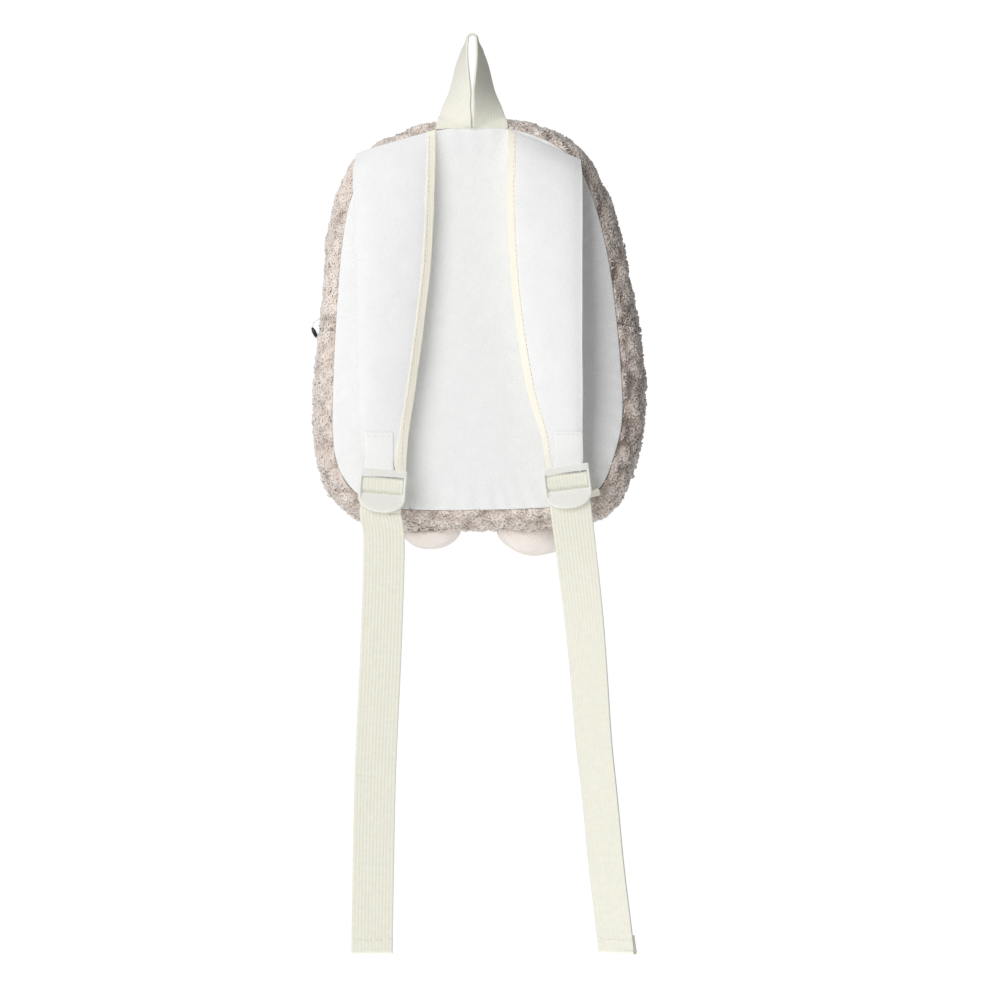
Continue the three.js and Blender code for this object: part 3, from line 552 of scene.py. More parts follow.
pale_plush = plush_material(
    "pale peach plush", PEACH_TIP, PEACH_ROOT, PEACH_FIBRES, PEACH_PILE_DEPTH, PEACH_SHEEN
)
for node in ("left_foot", "right_foot"):
    foot = placed(cad_shape(node), node + "_plush")
    fuse_and_soften(foot, FOOT_VOXEL, FOOT_ROUNDS)
    fine = foot.modifiers.new("subdivision", "SUBSURF")
    fine.levels = fine.render_levels = 1
    settled(foot)
    stuffed = bmesh.new()
    stuffed.from_mesh(foot.data)
    stuffed.normal_update()
    for vert in stuffed.verts:
        vert.co += vert.normal * FOOT_DENT * noise.noise(vert.co / FOOT_DENT_SIZE)
    stuffed.to_mesh(foot.data)
    stuffed.free()
    foot.data.shade_smooth()
    finished(foot, pale_plush, "pale_plush", node)

# Zip
# A woven zip runs over the top and down both sides between the two halves of the gusset.
# Its coil is a row of nylon loops on the tape, and the dark slider is parked at its left end.
COIL_HALF_WIDTH = 1.75 * MM
COIL_PITCH = 1.5 * MM
COIL_LOOP = (1.9 * MM, 0.62 * MM, 0.8 * MM)
# TAPE_GAP is the zip tape's colour in the weave's hollows, darkened as painted shade.
TAPE_YARN = (0.44, 0.37, 0.325, 1)
TAPE_GAP = (0.25, 0.20, 0.17, 1)
COIL_NYLON = (0.36, 0.30, 0.26, 1)
COIL_DARK = (0.28, 0.23, 0.2, 1)
SLIDER_BLACK = (0.02, 0.02, 0.024, 1)
SLIDER_DARK = (0.012, 0.012, 0.014, 1)
SLIDER_EDGE = 0.45 * MM
# The pull hangs in one plane: its points are x and z in millimetres.
PULL_LINE = ((-95.2, -176), (-100.5, -179.6), (-101.1, -183))
PULL_LEAF = ((-101.5, -182.6), (-98.3, -189.4))
PULL_LINK = 0.16 * MM
PULL_LEAF_HALF = (1.3 * MM, 1.7 * MM)
CORD_GREY = (0.72, 0.71, 0.78, 1)
CORD_DARK = (0.6, 0.59, 0.66, 1)
ZIP_YARNS = (1500, 1500)
ZIP_WEAVE_DEPTH = 0.2 * MM
RIDGE_REACH = 0.2 * MM
RIB_CREST = 0.6
YARN_UNEVENNESS = 0.35
WEAVE_SHARE = 0.35
WEAVE_HEIGHTS = (0.1, 0.8)
LIGHT_REACH = 1.6 * MM
LIGHT_REACH_BY_COLOUR = (1.0, 0.9, 0.6)
SKIN_GRAIN = 900
SKIN_HEIGHTS = (0.3, 0.7)
SKIN_DEPTH = 0.04 * MM


def plain_weave():
    """Woven cloth: uneven yarns that cross each other, or lie in lengthwise ribs where Ribs is 1, with
    painted shade in its hollows.
    """
    group, inside, outside = shader_group(
        "Plain weave",
        [
            ("Place", "NodeSocketVector"),
            ("Yarn", "NodeSocketColor"),
            ("Gap", "NodeSocketColor"),
            ("Ribs", "NodeSocketFloat"),
        ],
        [("Color", "NodeSocketColor"), ("Height", "NodeSocketFloat")],
    )
    split = group.nodes.new("ShaderNodeSeparateXYZ")
    group.links.new(inside.outputs["Place"], split.inputs[0])
    across = math_node(group, "SINE", math_node(group, "MULTIPLY", split.outputs["X"], math.pi))
    along = math_node(group, "SINE", math_node(group, "MULTIPLY", split.outputs["Y"], math.pi))
    checks = math_node(group, "MULTIPLY", across, along)
    ribs = math_node(group, "SUBTRACT", math_node(group, "ABSOLUTE", across), RIB_CREST)
    ribbed = math_node(group, "MULTIPLY", ribs, inside.outputs["Ribs"])
    plain = math_node(group, "SUBTRACT", 1, inside.outputs["Ribs"])
    weave = math_node(group, "ADD", ribbed, math_node(group, "MULTIPLY", checks, plain))
    uneven = noise_node(group, inside.outputs["Place"], YARN_UNEVENNESS, 3)
    height = math_node(group, "ADD", math_node(group, "MULTIPLY", weave, WEAVE_SHARE), uneven)
    # Painted shade: where the weave lies low, between yarns and between ribs, its colour falls to the darker
    # Gap colour; the yarns' random unevenness moves it as well.
    share = ranged(group, height, *WEAVE_HEIGHTS)
    colour = blended(group, share, inside.outputs["Gap"], inside.outputs["Yarn"])
    group.links.new(colour, outside.inputs["Color"])
    group.links.new(height, outside.inputs["Height"])
    return group


WEAVE = plain_weave()


def woven_material(name, yarn, gap, yarns, depth, turn=(0, 0, 0), uv=None, ribs=0.0, translucent=0.0):
    """Woven cloth; yarns per metre follow Object coordinates, or the piece's own UV map in metres."""
    material, tree, shader = bare_material(name, roughness=0.85, sheen=0.1, specular=0.2)
    shader.inputs["Subsurface Weight"].default_value = translucent
    shader.inputs["Subsurface Scale"].default_value = LIGHT_REACH
    shader.inputs["Subsurface Radius"].default_value = LIGHT_REACH_BY_COLOUR
    if uv:
        source = tree.nodes.new("ShaderNodeUVMap")
        source.uv_map = uv
        place = source.outputs["UV"]
    else:
        place = tree.nodes.new("ShaderNodeTexCoord").outputs["Object"]
    mapping = tree.nodes.new("ShaderNodeMapping")
    mapping.inputs["Rotation"].default_value = turn
    mapping.inputs["Scale"].default_value = (yarns[0], yarns[1], 1)
    tree.links.new(place, mapping.inputs["Vector"])
    weave = tree.nodes.new("ShaderNodeGroup")
    weave.node_tree = WEAVE
    weave.inputs["Yarn"].default_value = yarn
    weave.inputs["Gap"].default_value = gap
    weave.inputs["Ribs"].default_value = ribs
    tree.links.new(mapping.outputs["Vector"], weave.inputs["Place"])
    tree.links.new(weave.outputs["Color"], shader.inputs["Base Color"])
    bumped(tree, shader, weave.outputs["Height"], depth)
    return material


zip_cloth = woven_material(
    "taupe zip tape", TAPE_YARN, TAPE_GAP, ZIP_YARNS, ZIP_WEAVE_DEPTH, turn=(math.pi / 2, 0, 0)
)
zip_tape = placed(subdivided(cad_shape("zip_tape"), 1), "zip_tape_cloth")
finished(zip_tape, zip_cloth, "zip_cloth", "zip_tape")

tape_low, tape_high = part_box("zip_tape")
tape_middle = (tape_low[1] + tape_high[1]) / 2
ridge = np.array([
    v.co for v in cad_shape("zip_tape").verts if abs(v.co.y - tape_middle - COIL_HALF_WIDTH) < RIDGE_REACH
])
from_bag = np.linalg.norm(ridge[:, [0, 2]] - np.array((BAG_MIDDLE.x, BAG_MIDDLE.z)), axis=1)
gaps = np.linalg.norm(ridge[:, None] - ridge[None], axis=2) + np.eye(len(ridge))
outer = ridge[from_bag > from_bag[np.argmin(gaps, axis=1)]]
outer = outer[np.argsort(np.arctan2(outer[:, 0] - BAG_MIDDLE.x, outer[:, 2] - BAG_MIDDLE.z))]


def lengths_along(points):
    """How far along a line of points each one lies."""
    return np.concatenate([[0], np.cumsum(np.linalg.norm(np.diff(points, axis=0), axis=1))])


def evenly(points, step):
    """Points a step apart along a line of points, and the direction at each."""
    lengths = lengths_along(points)
    places = np.arange(step / 2, lengths[-1], step)
    line = np.stack([np.interp(places, lengths, points[:, k]) for k in range(3)], axis=1)
    return line, unit_rows(np.gradient(line, axis=0))


coil = bmesh.new()
for place, along in zip(*evenly(outer, COIL_PITCH)):
    x_axis, y_axis = Vector((0, 1, 0)), Vector(along)
    seat = Matrix((x_axis, y_axis, x_axis.cross(y_axis))).transposed().to_4x4()
    seat.translation = Vector((place[0], tape_middle, place[2]))
    bmesh.ops.create_uvsphere(
        coil, u_segments=8, v_segments=5, radius=1, matrix=seat @ Matrix.Diagonal((*COIL_LOOP, 1))
    )
zip_coil = placed(coil, "zip_coil")


def speckled_material(name, colour, dark, roughness, specular=0.5):
    """Moulded plastic, or smooth thread, with a slightly uneven skin."""
    material, tree, shader = bare_material(name, roughness=roughness, specular=specular)
    place = tree.nodes.new("ShaderNodeTexCoord").outputs["Object"]
    skin = noise_node(tree, place, SKIN_GRAIN, 3)
    speckles = blended(tree, ranged(tree, skin, *SKIN_HEIGHTS), dark, colour)
    tree.links.new(speckles, shader.inputs["Base Color"])
    bumped(tree, shader, skin, SKIN_DEPTH)
    return material


coil_nylon = speckled_material("taupe zip coil", COIL_NYLON, COIL_DARK, roughness=0.45)
finished(zip_coil, coil_nylon, "zip_cloth")

dark_plastic = speckled_material("near-black slider", SLIDER_BLACK, SLIDER_DARK, roughness=0.35)
slider_shape = cad_shape("zip_slider")
slider_low, slider_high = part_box("zip_slider")
slider_middle = (slider_low[1] + slider_high[1]) / 2
bmesh.ops.bisect_plane(
    slider_shape,
    geom=[*slider_shape.verts, *slider_shape.edges, *slider_shape.faces],
    plane_co=(0, 0, PULL_LINE[0][1] * MM),
    plane_no=(0, 0, -1),
    clear_outer=True,
)
bmesh.ops.holes_fill(slider_shape, edges=[e for e in slider_shape.edges if e.is_boundary])
slider = placed(slider_shape, "zip_slider_body")
rounding = slider.modifiers.new("rounding", "BEVEL")
rounding.width = SLIDER_EDGE
rounding.segments = 2
settled(slider)
finished(slider, dark_plastic, "dark_plastic", "zip_slider")


def along_line(start, end, half):
    """Turns and stretches a shape of radius 1 to lie between two points of the pull's plane."""
    start, end = (Vector((x * MM, slider_middle, z * MM)) for x, z in (start, end))
    way = (end - start).normalized()
    turn = Matrix((way.cross((0, 1, 0)), (0, 1, 0), way)).transposed().to_4x4()
    turn.translation = (start + end) / 2
    return turn @ Matrix.Diagonal((*half, (end - start).length / 2, 1))


pull_cord = bmesh.new()
for start, end in zip(PULL_LINE, PULL_LINE[1:]):
    link = along_line(start, end, (PULL_LINK, PULL_LINK))
    bmesh.ops.create_cone(pull_cord, cap_ends=True, segments=8, radius1=1, radius2=1, depth=2, matrix=link)
grey_cord = speckled_material("grey pull cord", CORD_GREY, CORD_DARK, roughness=0.6, specular=0.2)
finished(placed(pull_cord, "zip_pull_cord"), grey_cord, "dark_plastic")
pull = bmesh.new()
leaf = along_line(*PULL_LEAF, PULL_LEAF_HALF)
bmesh.ops.create_uvsphere(pull, u_segments=16, v_segments=10, radius=1, matrix=leaf)
finished(placed(pull, "zip_pull"), dark_plastic, "dark_plastic")

# Hang loop
# One length of ribbed cream webbing, its two ends sewn side by side into the top seam.
# It is drawn up to a point by the hook, so each leg turns edge-on as it rises.
WEB_WIDTH = 25.4 * MM
LOOP_WIDTH = 22.5 * MM
WEB_THICKNESS = 1.5 * MM
RIB_WIDTH = 2.1 * MM
RIB_STEPS = 4
RIB_DEPTH = 0.15 * MM
# The right leg from its sewn end up: x, y and z in millimetres, and its width's turn in degrees.
LEG_ROWS = (
    (11.35, -11.6, -59, 5),
    (11.25, -11.7, -57, 9),
    (10.6, -11.9, -53, 25),
    (9.65, -10.5, -45, 40.5),
    (7.75, -6, -34, 57),
    (6.55, -2, -19, 71.5),
    (4.65, -0.4, -8, 82),
)
LEG_STEPS = 46
CROWN_RADIUS = 3.05
CROWN_DIP = 0.097
CROWN_STEPS = 11
LOOP_DROP = 1.3 * MM
LOOP_DROP_FROM = -50 * MM
LOOP_DROP_LENGTH = 8 * MM
# CREAM_GAP is painted shade in the hollows between the webbing's ribs and yarns.
CREAM_YARN = (0.815, 0.81, 0.725, 1)
CREAM_GAP = (0.765, 0.75, 0.655, 1)
WEB_WEAVE = (1, 2)
WEB_WEAVE_DEPTH = 0.06 * MM
WEB_CLEARNESS = 0.7


def smooth_rows(rows, count):
    """Rows of numbers read as points on one smooth curve, at even steps from the first to the last."""
    rows = np.array(rows, float)
    ends = np.concatenate([[2 * rows[0] - rows[1]], rows, [2 * rows[-1] - rows[-2]]])
    found = []
    for place in np.linspace(0, len(rows) - 1, count):
        step = min(int(place), len(rows) - 2)
        t = place - step
        a, b, c, d = ends[step:step + 4]
        bend = 2 * a - 5 * b + 4 * c - d
        turn_over = 3 * b - a - 3 * c + d
        found.append(0.5 * (2 * b + (c - a) * t + bend * t * t + turn_over * t ** 3))
    return np.array(found)


def ribbed_strip(name, route, across, width):
    """Ribbed webbing whose middle follows the route, with its width along the directions across."""
    ribs = round(width / RIB_WIDTH)
    rows, columns = len(route), ribs * RIB_STEPS
    along = unit_rows(np.gradient(route, axis=0))
    across = flattened(across, along)
    face = np.cross(along, across)
    lengths = lengths_along(route)
    bm = bmesh.new()
    bmesh.ops.create_grid(bm, x_segments=columns, y_segments=rows - 1, size=1)
    uv = bm.loops.layers.uv.new("weave")
    reach = max(abs(v.co.x) for v in bm.verts)
    places = {}
    for vert in bm.verts:
        share = 0.5 + vert.co.x / (2 * reach)
        places[vert] = (share, round((0.5 + vert.co.y / (2 * reach)) * (rows - 1)))
    for one in bm.faces:
        for corner in one.loops:
            share, row = places[corner.vert]
            corner[uv].uv = (share * ribs, lengths[row] / RIB_WIDTH)
    for vert, (share, row) in places.items():
        rib = RIB_DEPTH * (abs(math.sin(math.pi * ribs * share)) - 0.5)
        vert.co = route[row] + across[row] * (share - 0.5) * width + face[row] * rib
    obj = placed(bm, name)
    wall = obj.modifiers.new("wall", "SOLIDIFY")
    wall.thickness = WEB_THICKNESS - RIB_DEPTH
    wall.offset = 0
    return settled(obj)


cream_webbing = woven_material(
    "cream ribbed webbing",
    CREAM_YARN,
    CREAM_GAP,
    WEB_WEAVE,
    WEB_WEAVE_DEPTH,
    uv="weave",
    ribs=0.85,
    translucent=0.45,
)
let_through(cream_webbing, WEB_CLEARNESS)
leg = smooth_rows(LEG_ROWS, LEG_STEPS)
turns = np.radians(leg[:, 3])
right_leg = leg[:, :3]
right_across = np.stack([np.cos(turns), np.sin(turns), 0 * turns], axis=1)
left_leg = (right_leg * (-1, 1, 1))[::-1]
left_across = (right_across * (-1, 1, 1))[::-1]
bow = np.linspace(0, math.pi, CROWN_STEPS)
crown_top = WEB_THICKNESS / MM / 2
crown = np.stack([CROWN_RADIUS * np.cos(bow), 0 * bow, CROWN_RADIUS * (np.sin(bow) - 1) + crown_top], axis=1)
crown_across = np.tile((0.0, 1.0, CROWN_DIP), (len(bow), 1))
loop_route = np.concatenate([right_leg, crown, left_leg]) * MM
loop_across = np.concatenate([right_across, crown_across, left_across])
hang_loop = ribbed_strip("hang_loop_webbing", loop_route, loop_across, LOOP_WIDTH)
for vert in hang_loop.data.vertices:
    low = min(max((LOOP_DROP_FROM - vert.co.z) / LOOP_DROP_LENGTH, 0), 1)
    vert.co.z -= LOOP_DROP * low * (vert.co.x / LOOP_WIDTH) ** 2
finished(hang_loop, cream_webbing, "cream_webbing", "hang_loop")

# Shoulder straps
# Each strap is a foam pad in the panel's white plush, crowned along its middle and thin at its inner
# edge, which lets light through and is closed by a folded cream bias binding with one stitched line.
SIDES = ("left", "right")
STRAP_WAVE = 0.5 * MM
STRAP_WAVE_SIZE = 24 * MM
# BINDING_GAP is painted shade in the hollows of the binding's weave.
BINDING_YARN = (0.90, 0.865, 0.755, 1)
BINDING_GAP = (0.84, 0.80, 0.69, 1)
BINDING_YARNS = (1400, 1400)
BINDING_WEAVE_DEPTH = 0.15 * MM
BINDING_RIPPLE = 0.12 * MM
BINDING_RIPPLE_SIZE = 7 * MM
EDGE_WIDTH = 15 * MM
EDGE_INSET = 4 * MM
EDGE_CLEARNESS = 0.92
THREAD_COLOUR = (0.80, 0.74, 0.65, 1)
THREAD_DARK = (0.7, 0.63, 0.53, 1)
STITCH_LENGTH = 2.3 * MM
STITCH_PITCH = 3.1 * MM
STITCH_WIDTH = 0.36 * MM
STITCH_LIFT = 0.1 * MM
STITCH_FROM = 0.2
SEAM_STEPS = 60
CAD_GAP = 0.35 * MM
HUG_GAP = 0.15 * MM
BINDING_THINNED = 0.35
BINDING_TUCK = 1.5 * MM
BINDING_TUCK_FROM = 6 * MM
# The line of stitches from the top of the strap down: x and z in millimetres.
BINDING_STITCH_ROWS = {
    "left": (
        (-26.8, -64),
        (-26.8, -76),
        (-27.4, -104),
        (-28.9, -137),
        (-31.9, -167),
        (-35.9, -198),
        (-40.1, -229),
        (-42.8, -250),
        (-43.6, -270),
    ),
    "right": (
        (26.3, -64),
        (26.2, -76),
        (25.9, -104),
        (27.4, -137),
        (29.9, -167),
        (34.2, -198),
        (39.9, -229),
        (46.2, -250),
        (48.8, -268),
    ),
}

cream_binding = woven_material(
    "cream bias binding",
    BINDING_YARN,
    BINDING_GAP,
    BINDING_YARNS,
    BINDING_WEAVE_DEPTH,
    turn=(math.pi / 2, 0, math.pi / 4),
)
let_through(cream_binding, EDGE_CLEARNESS)
strap_plush = plush_material(
    "white strap plush", WHITE_TIP, WHITE_ROOT, WHITE_FIBRES, WHITE_PILE_DEPTH, WHITE_SHEEN
)
strap_tree = strap_plush.node_tree
thinness = strap_tree.nodes.new("ShaderNodeAttribute")
thinness.attribute_name = "thinness"
clearness = math_node(strap_tree, "MULTIPLY", thinness.outputs["Fac"], EDGE_CLEARNESS)
let_through(strap_plush, clearness)
tan_thread = speckled_material("tan thread", THREAD_COLOUR, THREAD_DARK, roughness=0.7, specular=0.2)


def surface_of(*objs):
    """A tree of the objects' faces, to find places on them."""
    points, faces = [], []
    for obj in objs:
        start = len(points)
        points += [v.co for v in obj.data.vertices]
        faces += [[start + i for i in p.vertices] for p in obj.data.polygons]
    return BVHTree.FromPolygons(points, faces)


def stitch_piece(name, cloth, line, thread):
    """Stitches along a line, each laid on the face of the cloth that it meets when it is pushed in."""
    stitches = bmesh.new()
    towards = Vector((0, 1, 0))
    for place, direction in zip(*evenly(line, STITCH_PITCH)):
        start = Vector(place) - towards * STITCH_FROM
        hit, normal, _, _ = cloth.ray_cast(start, towards)
        if hit is None:
            continue
        along = (Vector(direction) - normal * normal.dot(Vector(direction))).normalized()
        seat = Matrix((along, normal.cross(along), normal)).transposed().to_4x4()
        seat.translation = hit + normal * STITCH_LIFT
        size = Matrix.Diagonal((STITCH_LENGTH / 2, STITCH_WIDTH / 2, STITCH_WIDTH / 2, 1))
        bmesh.ops.create_uvsphere(stitches, u_segments=6, v_segments=4, radius=1, matrix=seat @ size)
    return finished(placed(stitches, name), thread, "cream_binding")


def hugged(vert, pad_faces, thinned, share):
    """Draws a point of a thin cloth in to the padded face that it is sewn on."""
    near, _, _, reach = pad_faces.find_nearest(vert.co)
    drawn = HUG_GAP + thinned * max(reach - CAD_GAP, 0)
    vert.co = vert.co.lerp(near + (vert.co - near) * drawn / reach, share)


pads = {}
for side, inner in zip(SIDES, (1, -1)):
    pad = subdivided(cad_shape(side + "_strap_pad"), 3, crease=0.5)
    pad.normal_update()
    seam_x, seam_z = np.array(BINDING_STITCH_ROWS[side]).T * MM
    thin = pad.verts.layers.float.new("thinness")
    for vert in pad.verts:
        from_edge = EDGE_INSET + inner * (np.interp(-vert.co.z, -seam_z, seam_x) - vert.co.x)
        vert[thin] = min(max(1 - from_edge / EDGE_WIDTH, 0), 1)
        vert.co += vert.normal * STRAP_WAVE * noise.noise(vert.co / STRAP_WAVE_SIZE)
    pads[side] = placed(pad, side + "_strap_plush")
    finished(pads[side], strap_plush, "white_plush", side + "_strap_pad")
    edge = subdivided(cad_shape(side + "_strap_binding"), 2, crease=0.5)
    pad_faces = surface_of(pads[side])
    edge_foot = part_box(side + "_strap_binding")[0][2]
    for vert in edge.verts:
        hugged(vert, pad_faces, BINDING_THINNED, 1)
        vert.co.z -= BINDING_TUCK * max(1 - (vert.co.z - edge_foot) / BINDING_TUCK_FROM, 0)
        vert.co.y += BINDING_RIPPLE * noise.noise(vert.co / BINDING_RIPPLE_SIZE)
    binding = placed(edge, side + "_strap_binding_cloth")
    finished(binding, cream_binding, "cream_binding", side + "_strap_binding")
    seam = smooth_rows(BINDING_STITCH_ROWS[side], SEAM_STEPS) * MM
    seam_line = np.stack([seam[:, 0], 0 * seam[:, 0], seam[:, 1]], axis=1)
    stitch_piece(side + "_binding_stitches", surface_of(binding, pads[side]), seam_line, tan_thread)

# Strap ends
# A smooth white tape is folded round each adjuster's top bar and sewn to both faces of the pad.
# TAPE_WHITE_GAP is painted shade in the hollows of the tape's weave.
TAPE_WHITE = (0.88, 0.88, 0.87, 1)
TAPE_WHITE_GAP = (0.83, 0.83, 0.82, 1)
TAPE_YARNS = (1800, 1800)
TAPE_WEAVE_DEPTH = 0.05 * MM
TAPE_THINNED = 0.12
SEWN_LENGTH = 6 * MM
TAPE_STITCH_DROP = 2.4 * MM
TAPE_STITCH_INSET = 1.2 * MM
PALE_THREAD = (0.86, 0.855, 0.82, 1)
PALE_THREAD_DARK = (0.80, 0.79, 0.75, 1)

white_tape = woven_material(
    "smooth white tape", TAPE_WHITE, TAPE_WHITE_GAP, TAPE_YARNS, TAPE_WEAVE_DEPTH, turn=(math.pi / 2, 0, 0)
)
pale_thread = speckled_material("pale thread", PALE_THREAD, PALE_THREAD_DARK, roughness=0.7, specular=0.2)
for side in SIDES:
    folded = subdivided(cad_shape(side + "_strap_loop"), 2, crease=0.7)
    pad_faces = surface_of(pads[side])
    sewn_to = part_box(side + "_strap_pad")[0][2]
    for vert in folded.verts:
        hugged(vert, pad_faces, TAPE_THINNED, min(max((vert.co.z - sewn_to) / SEWN_LENGTH, 0), 1))
    tape_loop = placed(folded, side + "_strap_tape")
    finished(tape_loop, white_tape, "white_tape", side + "_strap_loop")
    loop_low, loop_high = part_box(side + "_strap_loop")
    row_z = loop_high[2] - TAPE_STITCH_DROP
    row_ends = (loop_low[0] + TAPE_STITCH_INSET, loop_high[0] - TAPE_STITCH_INSET)
    row_line = np.array([(x, 0, row_z) for x in row_ends])
    stitch_piece(side + "_tape_stitches", surface_of(tape_loop), row_line, pale_thread)

# Adjusters
# Each adjuster is a moulded ladder lock in milky plastic: two rails, a round bar for the tape,
# a flat bar for the webbing, and a rounded lip that is lifted to let the webbing run.
STRAP_ENDS = {
    "left": (Vector((-67.8, -29.5, -271)), Vector((-41.4, -29, -273.2))),
    "right": (Vector((47, -29, -271)), Vector((69.4, -31, -268.2))),
}
# Sizes and places from here to the slant are in millimetres, along the adjuster's own axes.
ADJUSTER_DROP = 11.7
BAR_LENGTH = 26.6
RAIL_SIZE = (1.8, 19, 5.8)
RAIL_PLACE = (13.8, 1.5, 1.3)
RAIL_EDGE = 0.75
CROSSBAR = ((BAR_LENGTH, 4.5, 1.1), (0, 8.75, 3.65), 0.45)
WEB_BAR = ((BAR_LENGTH, 5.3, 2.4), (0, 0.95, 0), 0.7)
TAPE_BAR_RADIUS = 1.1
TAPE_BAR_PLACE = (0, 9.6, 0)
LIP_TOP = -4.4
LIP_SHOULDER = -7.4
LIP_BOTTOM = -16.2
LIP_HALF_WIDTH = 14.7
LIP_BACK = 1.3
LIP_THICKNESS = 1.9
LIP_SLANT = math.radians(6)
LIP_STEPS = 24
LIP_EDGE = 0.6
LIP_RIM_ANGLE = math.radians(60)
PLASTIC_VOXEL = 0.42 * MM
PLASTIC_ROUNDS = 3
MILKY_WHITE = (0.79, 0.785, 0.745, 1)
MILKY_DARK = (0.75, 0.745, 0.705, 1)
MILKY_REACH = 4 * MM
MILKY_REACH_BY_COLOUR = (1.0, 0.98, 0.9)
MILKY_CLEARNESS = 0.6


def adjuster_frame(side):
    """The adjuster's own axes: across, up the strap and towards the viewer, from the webbing's bar."""
    start, end = STRAP_ENDS[side]
    u = (end - start).normalized()
    v = (Vector((0, 0, 1)) - u * u.z).normalized()
    w = u.cross(v)
    place = Matrix((u, v, w)).transposed().to_4x4()
    place.translation = (start + end) / 2 - v * ADJUSTER_DROP
    return place


def block(bm, size, middle, soft):
    """A box with rounded edges."""
    made = bmesh.ops.create_cube(bm, size=1, matrix=Matrix.Translation(middle) @ Matrix.Diagonal((*size, 1)))
    corners = list({e for v in made["verts"] for e in v.link_edges})
    bmesh.ops.bevel(bm, geom=corners, offset=soft, affect="EDGES", segments=3, profile=0.5, material=-1)


def lip_plate(bm):
    """The lip: a plate with a half-round end, leaning out at its foot."""
    corners = [(-LIP_HALF_WIDTH, LIP_TOP), (LIP_HALF_WIDTH, LIP_TOP)]
    for step in range(LIP_STEPS + 1):
        angle = -math.pi * step / LIP_STEPS
        drop = (LIP_SHOULDER - LIP_BOTTOM) * math.sin(angle)
        corners.append((LIP_HALF_WIDTH * math.cos(angle), LIP_SHOULDER + drop))
    outline = bm.faces.new([bm.verts.new((x, y, 0)) for x, y in corners])
    raised = bmesh.ops.extrude_face_region(bm, geom=[outline])
    top = [g for g in raised["geom"] if isinstance(g, bmesh.types.BMVert)]
    bmesh.ops.translate(bm, verts=top, vec=(0, 0, LIP_THICKNESS))
    bmesh.ops.recalc_face_normals(bm, faces=bm.faces)
    rim = [e for e in bm.edges if e.calc_face_angle(0) > LIP_RIM_ANGLE]
    bmesh.ops.bevel(bm, geom=rim, offset=LIP_EDGE, affect="EDGES", segments=3, profile=0.5, material=-1)
    lean = Matrix.Translation((0, LIP_TOP, LIP_BACK)) @ Matrix.Rotation(-LIP_SLANT, 4, "X")
    bmesh.ops.transform(bm, matrix=lean @ Matrix.Translation((0, -LIP_TOP, 0)), verts=bm.verts)


milky_plastic = speckled_material("milky plastic", MILKY_WHITE, MILKY_DARK, roughness=0.32, specular=0.4)
milky_shader = milky_plastic.node_tree.nodes["Principled BSDF"]
milky_shader.inputs["Subsurface Weight"].default_value = 0.7
milky_shader.inputs["Subsurface Scale"].default_value = MILKY_REACH
milky_shader.inputs["Subsurface Radius"].default_value = MILKY_REACH_BY_COLOUR
let_through(milky_plastic, MILKY_CLEARNESS)

for side in SIDES:
    body = bmesh.new()
    lip_plate(body)
    for sign in (-1, 1):
        block(body, RAIL_SIZE, Vector(RAIL_PLACE) * Vector((sign, 1, 1)), RAIL_EDGE)
    block(body, *CROSSBAR)
    block(body, *WEB_BAR)
    bmesh.ops.create_cone(
        body,
        cap_ends=True,
        segments=20,
        radius1=TAPE_BAR_RADIUS,
        radius2=TAPE_BAR_RADIUS,
        depth=BAR_LENGTH,
        matrix=Matrix.Translation(TAPE_BAR_PLACE) @ Matrix.Rotation(math.pi / 2, 4, "Y"),
    )
    bmesh.ops.transform(body, matrix=Matrix.Scale(MM, 4) @ adjuster_frame(side), verts=body.verts)
    adjuster = placed(body, side + "_adjuster_plastic")
    fuse_and_soften(adjuster, PLASTIC_VOXEL, PLASTIC_ROUNDS)
    settled(adjuster)
    adjuster.data.shade_smooth()
    finished(adjuster, milky_plastic, "white_plastic", side + "_adjuster")

# Webbing
# Ribbed cream webbing is sewn into the bottom seam, runs up behind the adjuster, over its bar
# and out behind its lip, and hangs free to a folded hem.
BEND_STEPS = 11
LOAD_STEPS = 18
THREAD_STEPS = 70
TAIL_STEPS = 120
TAIL_LEVELLING = 6
HEM_LENGTH = 9
HEM_FOLD = 0.85
HEM_FOLD_FROM = 0.3
HEM_FOLD_STEPS = 9
HEM_BACK_FROM = 0.6
HEM_BACK_STEPS = 8
HEM_STITCH_DROP = 2.0
HEM_STITCH_INSET = 1 * MM
# Up and out along the adjuster's own axes, in millimetres; the bend has its middle and radius.
THREAD_RISE = ((-7, -3), (-2.5, -2.6), (1.5, -2.6))
THREAD_BEND = (2.7, -0.15, 2.45)
THREAD_FALL = (
    (0.9, 2.3),
    (-1.2, 2.15),
    (-2.5, 1.5),
    (-3.5, 0.55),
    (-4.4, -0.3),
    (-5.7, -0.75),
    (-9.5, -0.8),
    (-17, -0.7),
)
# The sewn ends and the tails: x, y and z in millimetres, and for a tail its turn in degrees.
ANCHOR_ROWS = {
    "left": ((-57.1, -12.8, -294.1), (-56.4, -15.4, -291.2)),
    "right": ((68.2, -12.8, -291.7), (67.2, -15.4, -288.8)),
}
ANCHOR_ACROSS = {"left": (0.97, 0, -0.23), "right": (0.95, 0, 0.31)}
TAIL_ROWS = {
    "left": (
        (-54.6, -31, -320, 0),
        (-56.6, -30, -386, 0),
        (-60, -29, -461, 0),
        (-61.6, -28, -536, 0),
        (-62.2, -28, -573, 0),
    ),
    "right": (
        (65.6, -31, -329, 12),
        (70, -30, -367, 22),
        (73.2, -29, -404, 28),
        (76, -28, -442, 31),
        (80, -27, -479, 33),
        (83.6, -26, -517, 33),
        (88, -25, -554, 33),
        (90.3, -25, -573, 33),
    ),
}

